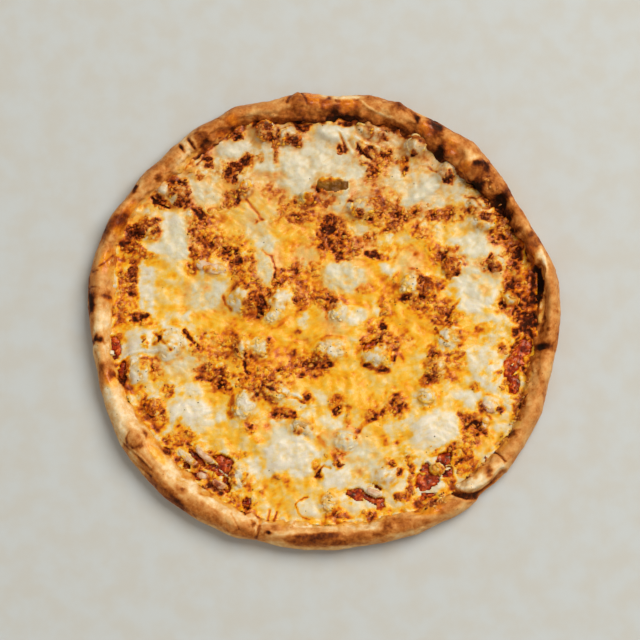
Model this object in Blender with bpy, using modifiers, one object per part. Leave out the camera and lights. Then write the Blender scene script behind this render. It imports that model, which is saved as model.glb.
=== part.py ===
"""Round oven-baked pizza, 0.31 m across: a risen crust, tomato sauce, melted cheese and chopped toppings.

Run in Blender 4.5: blender --background --python part.py
Every solid is its own object in the collection "pizza". +Z is up and the crust rests on z = 0.
"""

import math
from functools import partial

import bmesh
import bpy
from mathutils import Matrix, Vector, noise
from mathutils.bvhtree import BVHTree
from mathutils.geometry import delaunay_2d_cdt
from mathutils.kdtree import KDTree

MM = 0.001  # every size below is in millimetres, and the meshes are scaled once when they are made

# Driving sizes
PIZZA_RADIUS = 149.9
RIM_WIDTH = 15.8
RIM_HEIGHT = 18.4
CREST_INSET = 6.8
REST_INSET = 8.0
FLOOR_TOP = 4.0
GAP = 0.3
SAUCE_BOTTOM = FLOOR_TOP + GAP
SAUCE_TOP = 5.5
CHEESE_BOTTOM = SAUCE_TOP + GAP
CHEESE_TOP = 9.4
CHEESE_EDGE = 7.6
CHEESE_EDGE_WIDTH = 5.0
CHEESE_THINNEST = 1.2
CHEESE_HIGHEST = 13.6
RELIEF_START_INSIDE = 8.8  # the wall below this height stays clear of the cheese
RELIEF_START_OUTSIDE = 3.0  # and the outer side below this one stays plain down to the resting face
RELIEF_RUN = 3.0

# How finely each solid is faceted
CRUST_STEPS = 168
SAUCE_SPACING = 9.0
CHEESE_SPACING = 5.4
CHEESE_EDGE_SPACING = 4.6
LATTICE_CLEARANCE = 0.62  # from the net's places to the cheese's edges, as a share of the spacing
PROBES = 24  # places tested along and across each topping when it is laid down
SHARP_ANGLE = 40  # degrees between faces beyond which an edge is shaded sharp

# Lobes round the pizza: (centre in degrees counter-clockwise from +X, half width in degrees, size)
OUTLINE_LOBES = (
    (8, 11, 3.4),
    (14, 4, 1.4),
    (29, 11, -3.0),
    (50, 3.5, 2.2),
    (72, 22, -1.2),
    (88, 5, -1.8),
    (96, 3, 1.6),
    (104, 6, -1.6),
    (132, 7, -0.8),
    (163, 13, 5.0),
    (191, 8, -1.2),
    (217, 17, 4.0),
    (247, 9, 2.0),
    (268, 8, 1.0),
    (274, 14, -1.8),
    (300, 9, 1.0),
    (318, 20, 2.0),
)
WIDTH_LOBES = (
    (1, 6, 2.2),
    (29, 10, -3.6),
    (52, 7, 3.0),
    (75, 9, 1.6),
    (96, 6, 2.8),
    (113, 6, -3.8),
    (127, 5, 0.8),
    (150, 9, -3.0),
    (173, 7, 4.0),
    (189, 6, -4.2),
    (216, 12, 6.2),
    (238, 12, 4.0),
    (268, 14, 2.8),
    (334, 12, -2.6),
)
HEIGHT_LOBES = (
    (10, 16, 2.4),
    (48, 12, 1.6),
    (88, 24, 1.8),
    (160, 14, -1.0),
    (225, 28, -1.2),
    (284, 16, 0.8),
    (316, 12, -0.6),
)

# Where the cheese stops short of the crust and the sauce shows
CHEESE_BAYS = ((188, 3.0, 8.0), (231, 4.6, 15.0), (303, 3.6, 22.0), (348, 5.4, 16.0))
CHEESE_HOLES = ((27.0, -118.0, 12.5, 6.0, -10),)  # x, y, half length, half width, turn in degrees
HOLE_LOBES = 3
HOLE_LOBE_SIZE = 0.12  # as a share of the hole's size

# The crust's section, from the wall's foot over the crest and down the outer side: (inset, height)
RIM_PROFILE = (
    (RIM_WIDTH - GAP, FLOOR_TOP),
    (RIM_WIDTH - 0.5, 8.2),
    (RIM_WIDTH - 2.4, 11.8),
    (RIM_WIDTH - 4.6, 15.2),
    (RIM_WIDTH - 6.8, 17.6),
    (CREST_INSET, RIM_HEIGHT),
    (4.4, 17.4),
    (2.2, 15.0),
    (0.7, 11.6),
    (0.0, 8.0),
    (0.6, 4.8),
    (2.2, 2.2),
    (4.8, 0.6),
    (REST_INSET, 0.0),
)

# Relief on the rim: (what, degrees, inset, half length along the rim, half width across it, height)
RIM_RELIEF = (
    ("top blister", 97, 4.8, 6.0, 4.5, 2.6),
    ("small bump", 71, 2.6, 4.5, 4.0, 1.6),
    ("charred edge", 60, 1.5, 5.0, 4.0, 1.2),
    ("wide bubble", 53, 6.0, 7.0, 5.0, 2.6),
    ("charred blister", 44, 10.5, 7.0, 4.5, 4.2),
    ("knobbly edge", 37, 3.6, 8.0, 4.0, 1.4),
    ("pit", 32, 9.0, 4.5, 3.0, -2.2),
    ("tall fold", 20.5, 10.0, 9.0, 3.6, 3.4),
    ("deep hollow", 7.5, 13.4, 13.0, 3.2, -5.0),
    ("hollow's end", -2.0, 13.6, 9.0, 3.0, -3.4),
    ("torn lip", 8.5, 8.4, 14.0, 2.6, 1.8),
    ("slot", 352.5, 8.0, 4.5, 3.0, -1.6),
    ("burst bubble", 314, 9.8, 9.0, 4.6, 3.2),
    ("undercut, inner end", 307, 12.0, 4.0, 3.2, -2.4),
    ("undercut", 309.3, 5.4, 5.0, 3.0, -3.2),
    ("undercut, outer end", 313.5, 1.2, 7.0, 2.6, -2.2),
    ("seam", 252.5, 9.0, 2.8, 9.0, -1.8),
    ("seam's lip", 255, 8.0, 3.2, 7.0, 0.9),
    ("left bump", 213, 10.0, 7.0, 6.0, 2.8),
    ("shoulder", 154, 6.0, 7.0, 5.0, 2.0),
    ("crease", 127.5, 5.6, 3.0, 6.0, -1.6),
    ("browned bump", 123.5, 6.0, 6.0, 5.0, 1.6),
    ("side bulge", 171, 8.0, 12.0, 6.0, 1.2),
    ("low stretch", 266, 9.0, 9.0, 6.0, -1.0),
    ("bottom bulge", 288, 8.0, 8.0, 6.0, 1.2),
    ("right bulge", 336, 7.0, 9.0, 5.0, 1.2),
)

RIM_LUMPS = ((34.0, 1.1), (12.0, 1.2), (6.0, 0.4))  # wavelength, height

# Swells and dips of the cheese, mostly over buried pieces: (x, y, half length, half width, turn, height)
CHEESE_SWELLS = (
    (4, 124, 10, 9, 0, 4.0),
    (-117, -14, 10, 8, 10, 3.0),
    (66, 88, 26, 9, 30, 1.6),
    (-22, 104, 22, 10, 0, 1.4),
    (-98, 52, 12, 14, 0, 1.0),
    (96, 36, 18, 12, -20, 1.4),
    (96, 4, 18, 14, 0, 1.6),
    (104, -32, 14, 16, 20, 1.5),
    (74, -70, 18, 13, 0, 1.6),
    (-25, -84, 20, 13, 0, 1.4),
    (4, -99, 14, 10, 0, 1.8),
    (-87, -60, 15, 12, 0, 1.2),
    (-86, 20, 20, 12, 0, -1.2),
    (-38, 36, 9, 12, 0, 1.4),
    (14, 28, 14, 9, 0, 0.8),
    (17, -42, 18, 12, 0, -1.4),
    (-18, -18, 16, 10, 0, -1.6),
    (-62, 64, 14, 8, -20, -1.2),
    (8, 56, 16, 12, 0, -1.6),
    (30, 46, 12, 5, -20, -1.8),
    (72, 70, 20, 7, 15, -1.4),
    (78, 38, 9, 8, 0, -1.2),
    (-62, 42, 10, 8, 20, -1.4),
    (-72, -38, 16, 8, -30, -1.4),
    (-28, -62, 10, 5, 0, -1.8),
    (94, -72, 10, 8, -60, -1.4),
    (112, -78, 8, 5, 0, -1.6),
    (-124, 38, 6, 16, 10, -1.0),
    (126, 34, 6, 20, 0, -1.6),
    (24, 122, 16, 6, -10, -1.4),
)
SWELL_FALL = 1.1  # how quickly a swell falls away outside its half size
CHEESE_LUMPS = ((30.0, 1.9, 3.1), (14.0, 2.4, 17.7))  # wavelength, height, place in the noise

# Toppings: (kind, x, y, length, width, height, turn of the length in degrees)
TOPPINGS = (
    ("meat", -94, 81, 13, 11, 6.5, -30),
    ("meat", -104, 84, 7, 6.5, 5, 0),
    ("meat", -113, 59, 14, 11.5, 5.5, 60),
    ("meat", -38, 123, 14, 11, 6.5, 80),
    ("meat", -22, 120, 14, 9.5, 6, -20),
    ("mushroom", 31, 124, 21, 7.5, 5, -12),
    ("meat", 60, 113, 13.5, 12, 7, 60),
    ("meat", 80, 97, 13, 8.5, 7, 65),
    ("mushroom", 6, 87, 22, 11.5, 4.5, -8),
    ("mushroom", -11, 79, 9.5, 6.5, 4, -40),
    ("meat", 26, 73, 20.5, 12, 6, 10),
    ("meat", -51, 86, 11.5, 8.5, 6, 80),
    ("onion", -73, 34, 22, 8.5, 5, -14),
    ("meat", -51, 13, 20, 16, 7, 20),
    ("meat", -31, 8, 22, 11, 6, 70),
    ("meat", 9, 5, 13, 9, 5, 80),
    ("meat", 4, -20, 19.5, 11.5, 5.5, 12),
    ("meat", 35, -24, 20.5, 13, 7, -14),
    ("meat", 56, 23, 15.5, 10, 6, 65),
    ("meat", 67, 20, 11, 7, 6, 80),
    ("meat", 83, 34, 11.5, 11.5, 6, 30),
    ("meat", 111, 36, 9.5, 8.5, 6, 60),
    ("onion", 120, 14, 9, 8.5, 5, 10),
    ("meat", 81, -12, 13, 10.5, 5.5, 50),
    ("meat", 73, -31, 13, 10.5, 5.5, 60),
    ("meat", 66, -51, 9, 9, 5, 0),
    ("onion", 107, -56, 13, 9.5, 5, -40),
    ("onion", 103, -68, 9.5, 5, 4.5, 75),
    ("meat", -99, -16, 19, 16.5, 6, 40),
    ("meat", -120, -33, 17.5, 13, 6.5, 60),
    ("meat", -110, -57, 9.5, 9.5, 6, 20),
    ("meat", -53, -18, 14, 7.5, 5.5, 85),
    ("meat", -40, -18, 13, 11, 5.5, 75),
    ("meat", -51, -56, 16.5, 13.5, 6, 70),
    ("meat", -32, -47, 17, 9, 5.5, -15),
    ("mushroom", -14, -70, 13, 9.5, 5, -25),
    ("mushroom", 14, -79, 14, 10.5, 4.5, -10),
    ("onion", -87, -90, 17, 5, 4.5, -38),
    ("onion", -77, -88, 16, 5, 5, -42),
    ("onion", -78, -101, 9, 5.5, 4.5, -10),
    ("onion", -67, -107, 12, 5.5, 5, -25),
    ("meat", -55, -102, 13, 9, 6, 75),
    ("meat", 3, -119, 11.5, 8.5, 5.5, 85),
    ("onion", 32, -112, 11, 5, 4.5, -18),
    ("meat", 40, -101, 13, 9.5, 5.5, -10),
    ("meat", 73, -97, 8.5, 7.5, 5, 30),
    ("meat", 99, 75, 14, 8.5, 5.5, 15),
    ("meat", 104, 63, 14, 9.5, 6, 5),
)
# How each kind of topping is shaped: squareness, roughness, bend and depth of its seat in the cheese
KINDS = {
    "meat": {"square": 0.8, "rough": 0.3, "bend": 0.0, "seat": 2.2},
    "mushroom": {"square": 0.66, "rough": 0.12, "bend": 0.05, "seat": 1.4},
    "onion": {"square": 0.8, "rough": 0.1, "bend": 0.09, "seat": 1.2},
}
ROUGH_SCALE = 1.7  # how many lumps the roughness has across a topping
UNDERSIDE = -0.4  # a topping's flat underside, as a share of its height from its middle
SEAT_SIZE = 1.1  # the seat's size in the cheese, as a share of the topping's
COLLAR_RISE = 0.9  # cheese pushed up round a topping
COLLAR_PLACE = 1.7  # where, from the topping's middle, as a share of its half size
COLLAR_WIDTH = 0.4

# Colour, roughness of each object's material
FINISHES = {
    "crust": ((0.62, 0.33, 0.13), 0.7),
    "sauce": ((0.32, 0.03, 0.01), 0.3),
    "cheese": ((0.83, 0.62, 0.26), 0.35),
    "meat": ((0.56, 0.42, 0.28), 0.6),
    "mushroom": ((0.30, 0.21, 0.07), 0.45),
    "onion": ((0.78, 0.66, 0.50), 0.35),
}


def smooth(x):
    x = min(max(x, 0.0), 1.0)
    return x * x * (3 - 2 * x)


def lobes(table, degrees):
    """Sum of the table's bell-shaped lobes at this angle."""
    away = (((degrees - centre + 180) % 360 - 180, width, size) for centre, width, size in table)
    return sum(size * math.exp(-0.5 * (turn / width) ** 2) for turn, width, size in away)


def outline_at(degrees):
    return PIZZA_RADIUS + lobes(OUTLINE_LOBES, degrees)


def rim_width_at(degrees):
    return RIM_WIDTH + lobes(WIDTH_LOBES, degrees)


def rim_height_at(degrees):
    return RIM_HEIGHT + lobes(HEIGHT_LOBES, degrees)


def inner_edge_at(degrees):
    """Radius of the sauce's edge, at the foot of the rim's wall."""
    return outline_at(degrees) - rim_width_at(degrees)


def cheese_edge_at(degrees):
    return inner_edge_at(degrees) - lobes(CHEESE_BAYS, degrees)


def degrees_of(point):
    return math.degrees(math.atan2(point[1], point[0])) % 360


def in_oval(x, y, oval):
    """Distance from the oval's middle, where 1 is its edge."""
    centre_x, centre_y, half_length, half_width, turn = oval
    local = Matrix.Rotation(-math.radians(turn), 2) @ Vector((x - centre_x, y - centre_y))
    return math.hypot(local.x / half_length, local.y / half_width)


def add_object(name, mesh, kind, collection):
    """Makes the mesh, drawn in millimetres, an object in metres with its kind's material."""
    mesh.transform(Matrix.Scale(MM, 4))
    mesh.name = name
    mesh.shade_smooth()
    mesh.set_sharp_from_angle(angle=math.radians(SHARP_ANGLE))
    mesh.materials.clear()
    mesh.materials.append(material_of(kind))
    made = bpy.data.objects.new(name, mesh)
    collection.objects.link(made)
    return made


def material_of(kind):
    if kind in bpy.data.materials:
        return bpy.data.materials[kind]
    colour, roughness = FINISHES[kind]
    material = bpy.data.materials.new(kind)
    material.use_nodes = True
    shader = material.node_tree.nodes["Principled BSDF"]
    shader.inputs["Base Color"].default_value = (*colour, 1.0)
    shader.inputs["Roughness"].default_value = roughness
    shader.inputs["Metallic"].default_value = 0.0
    return material


def mesh_from(bm):
    mesh = bpy.data.meshes.new("solid")
    bmesh.ops.recalc_face_normals(bm, faces=bm.faces)
    bm.to_mesh(mesh)
    bm.free()
    return mesh


def turned_crust():
    """The mean rim section and the floor, turned round the pizza's axis with a Screw modifier."""
    radii = [(PIZZA_RADIUS - inset, height) for inset, height in RIM_PROFILE]
    section = [(0.0, FLOOR_TOP), *radii, (0.0, 0.0)]
    profile = bpy.data.meshes.new("crust profile")
    edges = [(i, i + 1) for i in range(len(section) - 1)]
    profile.from_pydata([(radius, 0.0, height) for radius, height in section], edges, [])
    turned = bpy.data.objects.new("crust profile", profile)
    bpy.context.scene.collection.objects.link(turned)
    screw = turned.modifiers.new("turn", "SCREW")
    screw.steps = screw.render_steps = CRUST_STEPS
    screw.use_merge_vertices = True
    screw.merge_threshold = 0.0001
    graph = bpy.context.evaluated_depsgraph_get()
    mesh = bpy.data.meshes.new_from_object(turned.evaluated_get(graph))
    bpy.data.objects.remove(turned)
    return mesh


def shape_rim(vertex):
    """Moves a turned vertex to the real outline, rim width and crest height at its angle."""
    radius = math.hypot(vertex.co.x, vertex.co.y)
    if radius < 1.0:
        return
    degrees = degrees_of(vertex.co)
    inset = (PIZZA_RADIUS - radius) * rim_width_at(degrees) / RIM_WIDTH
    rise = max(vertex.co.z - FLOOR_TOP, 0.0)
    scale = (rim_height_at(degrees) - FLOOR_TOP) / (RIM_HEIGHT - FLOOR_TOP)
    direction = Vector((vertex.co.x, vertex.co.y, 0.0)) / radius
    shaped = direction * (outline_at(degrees) - inset)
    vertex.co = (shaped.x, shaped.y, vertex.co.z + rise * (scale - 1))


def rim_relief_at(point):
    """Height of the blisters, folds and hollows at a point on the rim."""
    degrees = degrees_of(point)
    inset = outline_at(degrees) - math.hypot(point.x, point.y)
    total = 0.0
    for _, centre, centre_inset, half_length, half_width, height in RIM_RELIEF:
        along = math.radians((degrees - centre + 180) % 360 - 180) * PIZZA_RADIUS
        across = inset - centre_inset
        total += height * math.exp(-0.5 * ((along / half_length) ** 2 + (across / half_width) ** 2))
    return total + sum(rise * noise.noise(point / wavelength) for wavelength, rise in RIM_LUMPS)


def make_crust(collection):
    bm = bmesh.new()
    bm.from_mesh(turned_crust())
    for vertex in bm.verts:
        shape_rim(vertex)
    bmesh.ops.recalc_face_normals(bm, faces=bm.faces)
    bm.normal_update()
    moves = []
    for vertex in bm.verts:
        crest = outline_at(degrees_of(vertex.co)) - CREST_INSET
        inside = math.hypot(vertex.co.x, vertex.co.y) < crest
        start = RELIEF_START_INSIDE if inside else RELIEF_START_OUTSIDE
        free = smooth((vertex.co.z - start) / RELIEF_RUN)
        moves.append(vertex.normal * rim_relief_at(vertex.co) * free)
    for vertex, move in zip(bm.verts, moves):
        vertex.co += move
    return add_object("crust", mesh_from(bm), "crust", collection)


def resampled(points, spacing):
    """The closed loop again, with points this far apart."""
    loop = [Vector(point) for point in points]
    ends = list(zip(loop, loop[1:] + loop[:1]))
    lengths = [(b - a).length for a, b in ends]
    step = sum(lengths) / round(sum(lengths) / spacing)
    made, travelled, target = [], 0.0, 0.0
    for (a, b), length in zip(ends, lengths):
        while target < travelled + length - 1e-6:
            made.append(a.lerp(b, (target - travelled) / length))
            target += step
        travelled += length
    return made


def edge_loop(radius_at, spacing):
    fine = [
        (radius_at(i / 2) * math.cos(math.radians(i / 2)), radius_at(i / 2) * math.sin(math.radians(i / 2)))
        for i in range(720)
    ]
    return resampled(fine, spacing)


def hole_loop(oval, spacing):
    centre_x, centre_y, half_length, half_width, turn = oval
    spin = Matrix.Rotation(math.radians(turn), 2)
    fine = []
    for i in range(90):
        angle = math.radians(4 * i)
        wobble = 1 + HOLE_LOBE_SIZE * math.sin(HOLE_LOBES * angle)
        place = Vector((half_length * math.cos(angle), half_width * math.sin(angle)))
        fine.append(Vector((centre_x, centre_y)) + spin @ place * wobble)
    return resampled(fine, spacing)


def make_sauce(collection):
    """A flat disc of sauce out to the wall of the rim, as a filled curve."""
    loop = edge_loop(inner_edge_at, SAUCE_SPACING)
    curve = bpy.data.curves.new("sauce outline", "CURVE")
    curve.dimensions = "2D"
    curve.fill_mode = "BOTH"
    curve.extrude = (SAUCE_TOP - SAUCE_BOTTOM) / 2
    spline = curve.splines.new("POLY")
    spline.points.add(len(loop) - 1)
    for point, place in zip(spline.points, loop):
        point.co = (place.x, place.y, 0.0, 1.0)
    spline.use_cyclic_u = True
    outline = bpy.data.objects.new("sauce outline", curve)
    bpy.context.scene.collection.objects.link(outline)
    graph = bpy.context.evaluated_depsgraph_get()
    bm = bmesh.new()
    bm.from_mesh(bpy.data.meshes.new_from_object(outline.evaluated_get(graph)))
    bpy.data.objects.remove(outline)
    bmesh.ops.remove_doubles(bm, verts=bm.verts, dist=0.01)
    bmesh.ops.translate(bm, verts=bm.verts, vec=(0, 0, (SAUCE_TOP + SAUCE_BOTTOM) / 2))
    return add_object("sauce", mesh_from(bm), "sauce", collection)


def cheese_height_at(x, y, to_edge):
    """Top of the cheese: rounded at its edge, swollen over buried pieces and dented under loose ones."""
    height = CHEESE_TOP
    for centre_x, centre_y, half_length, half_width, turn, rise in CHEESE_SWELLS:
        away = in_oval(x, y, (centre_x, centre_y, half_length, half_width, turn))
        height += rise * math.exp(-SWELL_FALL * away**2)
    for kind, centre_x, centre_y, length, width, _, turn in TOPPINGS:
        away = in_oval(x, y, (centre_x, centre_y, length / 2, width / 2, turn))
        height -= KINDS[kind]["seat"] * math.exp(-0.5 * (away / SEAT_SIZE) ** 4)
        height += COLLAR_RISE * math.exp(-0.5 * ((away - COLLAR_PLACE) / COLLAR_WIDTH) ** 2)
    for wavelength, rise, place in CHEESE_LUMPS:
        height += rise * noise.noise(Vector((x / wavelength, y / wavelength, place)))
    height = min(max(height, CHEESE_BOTTOM + CHEESE_THINNEST), CHEESE_HIGHEST)
    blend = smooth(to_edge / CHEESE_EDGE_WIDTH)
    return CHEESE_EDGE + (height - CHEESE_EDGE) * blend


def lattice_inside(edges_tree):
    """Places on an even triangular lattice, clear of the cheese's edges."""
    row_height = CHEESE_SPACING * math.sqrt(3) / 2
    rows = math.ceil(PIZZA_RADIUS / row_height)
    columns = math.ceil(PIZZA_RADIUS / CHEESE_SPACING)
    for row in range(-rows, rows + 1):
        for column in range(-columns, columns + 1):
            place = Vector(((column + 0.5 * (row % 2)) * CHEESE_SPACING, row * row_height))
            if place.length > cheese_edge_at(degrees_of(place)):
                continue
            if any(in_oval(place.x, place.y, hole) < 1.0 for hole in CHEESE_HOLES):
                continue
            if edges_tree.find((place.x, place.y, 0.0))[2] > LATTICE_CLEARANCE * CHEESE_SPACING:
                yield place


def make_cheese(collection):
    """The top is an even triangle net inside the cheese's edges, and its sides go down to a flat base."""
    loops = [edge_loop(cheese_edge_at, CHEESE_EDGE_SPACING)]
    loops += [hole_loop(hole, CHEESE_EDGE_SPACING) for hole in CHEESE_HOLES]
    edge_points = [place for loop in loops for place in loop]
    tree = KDTree(len(edge_points))
    for i, place in enumerate(edge_points):
        tree.insert((place.x, place.y, 0.0), i)
    tree.balance()
    borders, start = [], 0
    for loop in loops:
        borders += [(start + i, start + (i + 1) % len(loop)) for i in range(len(loop))]
        start += len(loop)
    places = edge_points + list(lattice_inside(tree))
    places, _, triangles, *_ = delaunay_2d_cdt(places, borders, [], 1, 1e-4)
    bm = bmesh.new()
    for place in places:
        to_edge = tree.find((place.x, place.y, 0.0))[2]
        bm.verts.new((place.x, place.y, cheese_height_at(place.x, place.y, to_edge)))
    bm.verts.ensure_lookup_table()
    for triangle in triangles:
        middle = sum((places[i] for i in triangle), Vector((0.0, 0.0))) / 3
        if all(in_oval(middle.x, middle.y, hole) > 1.0 for hole in CHEESE_HOLES):
            bm.faces.new([bm.verts[i] for i in triangle])
    rim = [edge for edge in bm.edges if edge.is_boundary]
    sides = bmesh.ops.extrude_edge_only(bm, edges=rim)["geom"]
    for vertex in (item for item in sides if isinstance(item, bmesh.types.BMVert)):
        vertex.co.z = CHEESE_BOTTOM
    base = [edge for edge in bm.edges if edge.is_boundary]
    bmesh.ops.triangle_fill(bm, edges=base, use_beauty=True)
    return add_object("cheese", mesh_from(bm), "cheese", collection)


def chunk_mesh(kind, length, width, height, seed):
    """A lump cut square to its kind's degree, roughened, bent along its length and flat underneath."""
    look = KINDS[kind]
    bm = bmesh.new()
    bmesh.ops.create_icosphere(bm, subdivisions=2, radius=1.0)
    for vertex in bm.verts:
        point = Vector([math.copysign(abs(part) ** look["square"], part) for part in vertex.co])
        point *= 1 + look["rough"] * noise.noise(vertex.co * ROUGH_SCALE + Vector((seed, 2.0 * seed, 0.0)))
        point.y += look["bend"] * length / width * (2 * point.x * point.x - 1)
        point.z = max(point.z, 2 * UNDERSIDE)
        vertex.co = (point.x * length / 2, point.y * width / 2, point.z * height / 2)
    return mesh_from(bm)


def settle(points, triangles, ground):
    """How far a topping's points are raised for it to lie just clear of what is under it."""
    own = BVHTree.FromPolygons(points, triangles)
    deepest = -math.inf
    far = PIZZA_RADIUS
    for point in points:
        hit = ground.ray_cast(Vector((point.x, point.y, far)), Vector((0, 0, -1)))[0]
        deepest = max(deepest, hit.z - point.z)
    low = Vector([min(point[axis] for point in points) for axis in range(3)])
    high = Vector([max(point[axis] for point in points) for axis in range(3)])
    for i in range(PROBES + 1):
        for j in range(PROBES + 1):
            x = low.x + (high.x - low.x) * i / PROBES
            y = low.y + (high.y - low.y) * j / PROBES
            under = own.ray_cast(Vector((x, y, -far)), Vector((0, 0, 1)))[0]
            if under is not None:
                hit = ground.ray_cast(Vector((x, y, far)), Vector((0, 0, -1)))[0]
                deepest = max(deepest, hit.z - under.z)
    return deepest + GAP


def make_topping(name, row, seed, ground, collection):
    kind, x, y, length, width, height, turn = row
    mesh = chunk_mesh(kind, length, width, height, seed)
    mesh.transform(Matrix.Translation((x, y, 0.0)) @ Matrix.Rotation(math.radians(turn), 4, "Z"))
    triangles = [tuple(polygon.vertices) for polygon in mesh.polygons]
    lift = settle([vertex.co.copy() for vertex in mesh.vertices], triangles, ground)
    mesh.transform(Matrix.Translation((0.0, 0.0, lift)))
    return add_object(name, mesh, kind, collection)


def ground_of(objects):
    """What the toppings lie on, in millimetres."""
    points, triangles = [], []
    for item in objects:
        start = len(points)
        points += [vertex.co / MM for vertex in item.data.vertices]
        triangles += [tuple(start + i for i in polygon.vertices) for polygon in item.data.polygons]
    return BVHTree.FromPolygons(points, triangles)


def recentre(objects, guide):
    """Moves every mesh so that the guide's box stands centred on the origin."""
    low = [min(vertex.co[axis] for vertex in guide.data.vertices) for axis in range(3)]
    high = [max(vertex.co[axis] for vertex in guide.data.vertices) for axis in range(3)]
    move = Matrix.Translation((-(low[0] + high[0]) / 2, -(low[1] + high[1]) / 2, -low[2]))
    for item in objects:
        item.data.transform(move)


def main():
    for item in list(bpy.data.objects):
        bpy.data.objects.remove(item)
    collection = bpy.data.collections.new("pizza")
    bpy.context.scene.collection.children.link(collection)
    crust = make_crust(collection)
    sauce = make_sauce(collection)
    cheese = make_cheese(collection)
    ground = ground_of((crust, sauce, cheese))
    add_topping = partial(make_topping, ground=ground, collection=collection)
    counts = dict.fromkeys(KINDS, 0)
    toppings = []
    for seed, row in enumerate(TOPPINGS):
        counts[row[0]] += 1
        toppings.append(add_topping(f"{row[0]}_{counts[row[0]]:02d}", row, seed))
    recentre((crust, sauce, cheese, *toppings), crust)


main()
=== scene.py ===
import math

import bmesh
import bpy
import numpy as np
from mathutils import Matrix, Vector
from mathutils.bvhtree import BVHTree


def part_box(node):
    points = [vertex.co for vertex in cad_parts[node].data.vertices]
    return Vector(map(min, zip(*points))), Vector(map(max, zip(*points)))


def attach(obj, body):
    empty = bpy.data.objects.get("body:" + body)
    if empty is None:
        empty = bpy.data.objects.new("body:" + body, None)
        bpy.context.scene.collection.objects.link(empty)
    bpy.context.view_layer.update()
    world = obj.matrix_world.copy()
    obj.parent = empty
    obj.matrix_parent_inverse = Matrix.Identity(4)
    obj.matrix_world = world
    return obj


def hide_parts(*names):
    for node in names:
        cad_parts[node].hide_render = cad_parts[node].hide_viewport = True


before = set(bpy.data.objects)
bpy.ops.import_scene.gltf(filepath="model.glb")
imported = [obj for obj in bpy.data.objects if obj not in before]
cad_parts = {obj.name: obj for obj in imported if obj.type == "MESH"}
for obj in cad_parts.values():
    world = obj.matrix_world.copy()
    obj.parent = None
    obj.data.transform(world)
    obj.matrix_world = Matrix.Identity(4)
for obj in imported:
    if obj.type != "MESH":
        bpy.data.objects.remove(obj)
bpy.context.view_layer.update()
millimetre = 0.001  # points are worked out in millimetres and scaled when a mesh is made
rayTop = 100.0  # millimetres, the height that rays fall from
print("frame loaded,", len(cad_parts), "nodes")

# Places below are read off the picture, in its pixels. x runs right, y runs down.
picture = {
    "originX": 324.0,  # the pixel over the middle of the pizza
    "originY": 320.0,
    "mmAcross": 0.6435,  # one pixel on the pizza
    "mmUp": 0.65,
}


def toPixels(points):
    across = points[:, 0] / picture["mmAcross"] + picture["originX"]
    down = picture["originY"] - points[:, 1] / picture["mmUp"]
    return np.stack((across, down), axis=1)


def ease(low, high, value):
    share = np.clip((value - low) / (high - low), 0.0, 1.0)
    return share * share * (3.0 - 2.0 * share)


def mixed(a, b, share):
    return a + (b - a) * share


def scramble(ix, iy, iz, seed):
    # a repeatable whole number for each place of the lattice
    n = ix * 374761393 + iy * 668265263 + iz * 1274126177 + seed * 974634533
    n = n & 0xFFFFFFFF
    n = ((n ^ (n >> 13)) * 1274126177) & 0xFFFFFFFF
    n = ((n ^ (n >> 15)) * 668265263) & 0xFFFFFFFF
    return n ^ (n >> 16)


def softNoise(points, size, seed):
    # gradient noise from about -1 to 1, with lumps of this size
    place = points / size
    corner = np.floor(place).astype(np.int64)
    within = place - corner
    fade = within**3 * (within * (within * 6.0 - 15.0) + 10.0)
    total = np.zeros(len(points))
    for dx in (0, 1):
        for dy in (0, 1):
            for dz in (0, 1):
                number = scramble(corner[:, 0] + dx, corner[:, 1] + dy, corner[:, 2] + dz, seed)
                slopeX = (number & 1023) / 511.5 - 1.0
                slopeY = ((number >> 10) & 1023) / 511.5 - 1.0
                slopeZ = ((number >> 20) & 1023) / 511.5 - 1.0
                height = slopeX * (within[:, 0] - dx) + slopeY * (within[:, 1] - dy)
                height += slopeZ * (within[:, 2] - dz)
                weight = np.where(dx, fade[:, 0], 1 - fade[:, 0]) * np.where(dy, fade[:, 1], 1 - fade[:, 1])
                total += height * weight * np.where(dz, fade[:, 2], 1 - fade[:, 2])
    return total * 1.5


def layeredNoise(points, size, seed, layers=3, gain=0.5):
    total = np.zeros(len(points))
    for layer in range(layers):
        total += softNoise(points, size / 2**layer, seed + 17 * layer) * gain**layer
    return total


def drawnNoise(points, size, stretch, seed, layers=2):
    # noise drawn out into strands, whose direction changes over the pizza
    flat = points * (1.0, 1.0, 0.0)
    choice = layeredNoise(flat, 48.0, seed + 500, 2)
    first = ease(0.05, -0.3, choice)
    last = ease(0.05, 0.3, choice)
    total = np.zeros(len(points))
    for turn, weight in ((0.65, 1.0 - first - last), (0.15, first), (-0.55, last)):
        along = flat[:, 0] * math.cos(turn) + flat[:, 1] * math.sin(turn)
        across = flat[:, 1] * math.cos(turn) - flat[:, 0] * math.sin(turn)
        drawn = np.stack((along / stretch, across, np.zeros(len(points))), axis=1)
        total += weight * layeredNoise(drawn, size, seed, layers)
    return total


def cellNoise(points, size, seed):
    # distance to the nearest of scattered seeds, in cells
    place = points[:, :2] / size
    corner = np.floor(place).astype(np.int64)
    nearest = np.full(len(points), 9.0)
    for dx in (-1, 0, 1):
        for dy in (-1, 0, 1):
            number = scramble(corner[:, 0] + dx, corner[:, 1] + dy, 0, seed)
            seedX = corner[:, 0] + dx + (number & 1023) / 1023
            seedY = corner[:, 1] + dy + ((number >> 10) & 1023) / 1023
            nearest = np.minimum(nearest, np.hypot(place[:, 0] - seedX, place[:, 1] - seedY))
    return nearest


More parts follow.
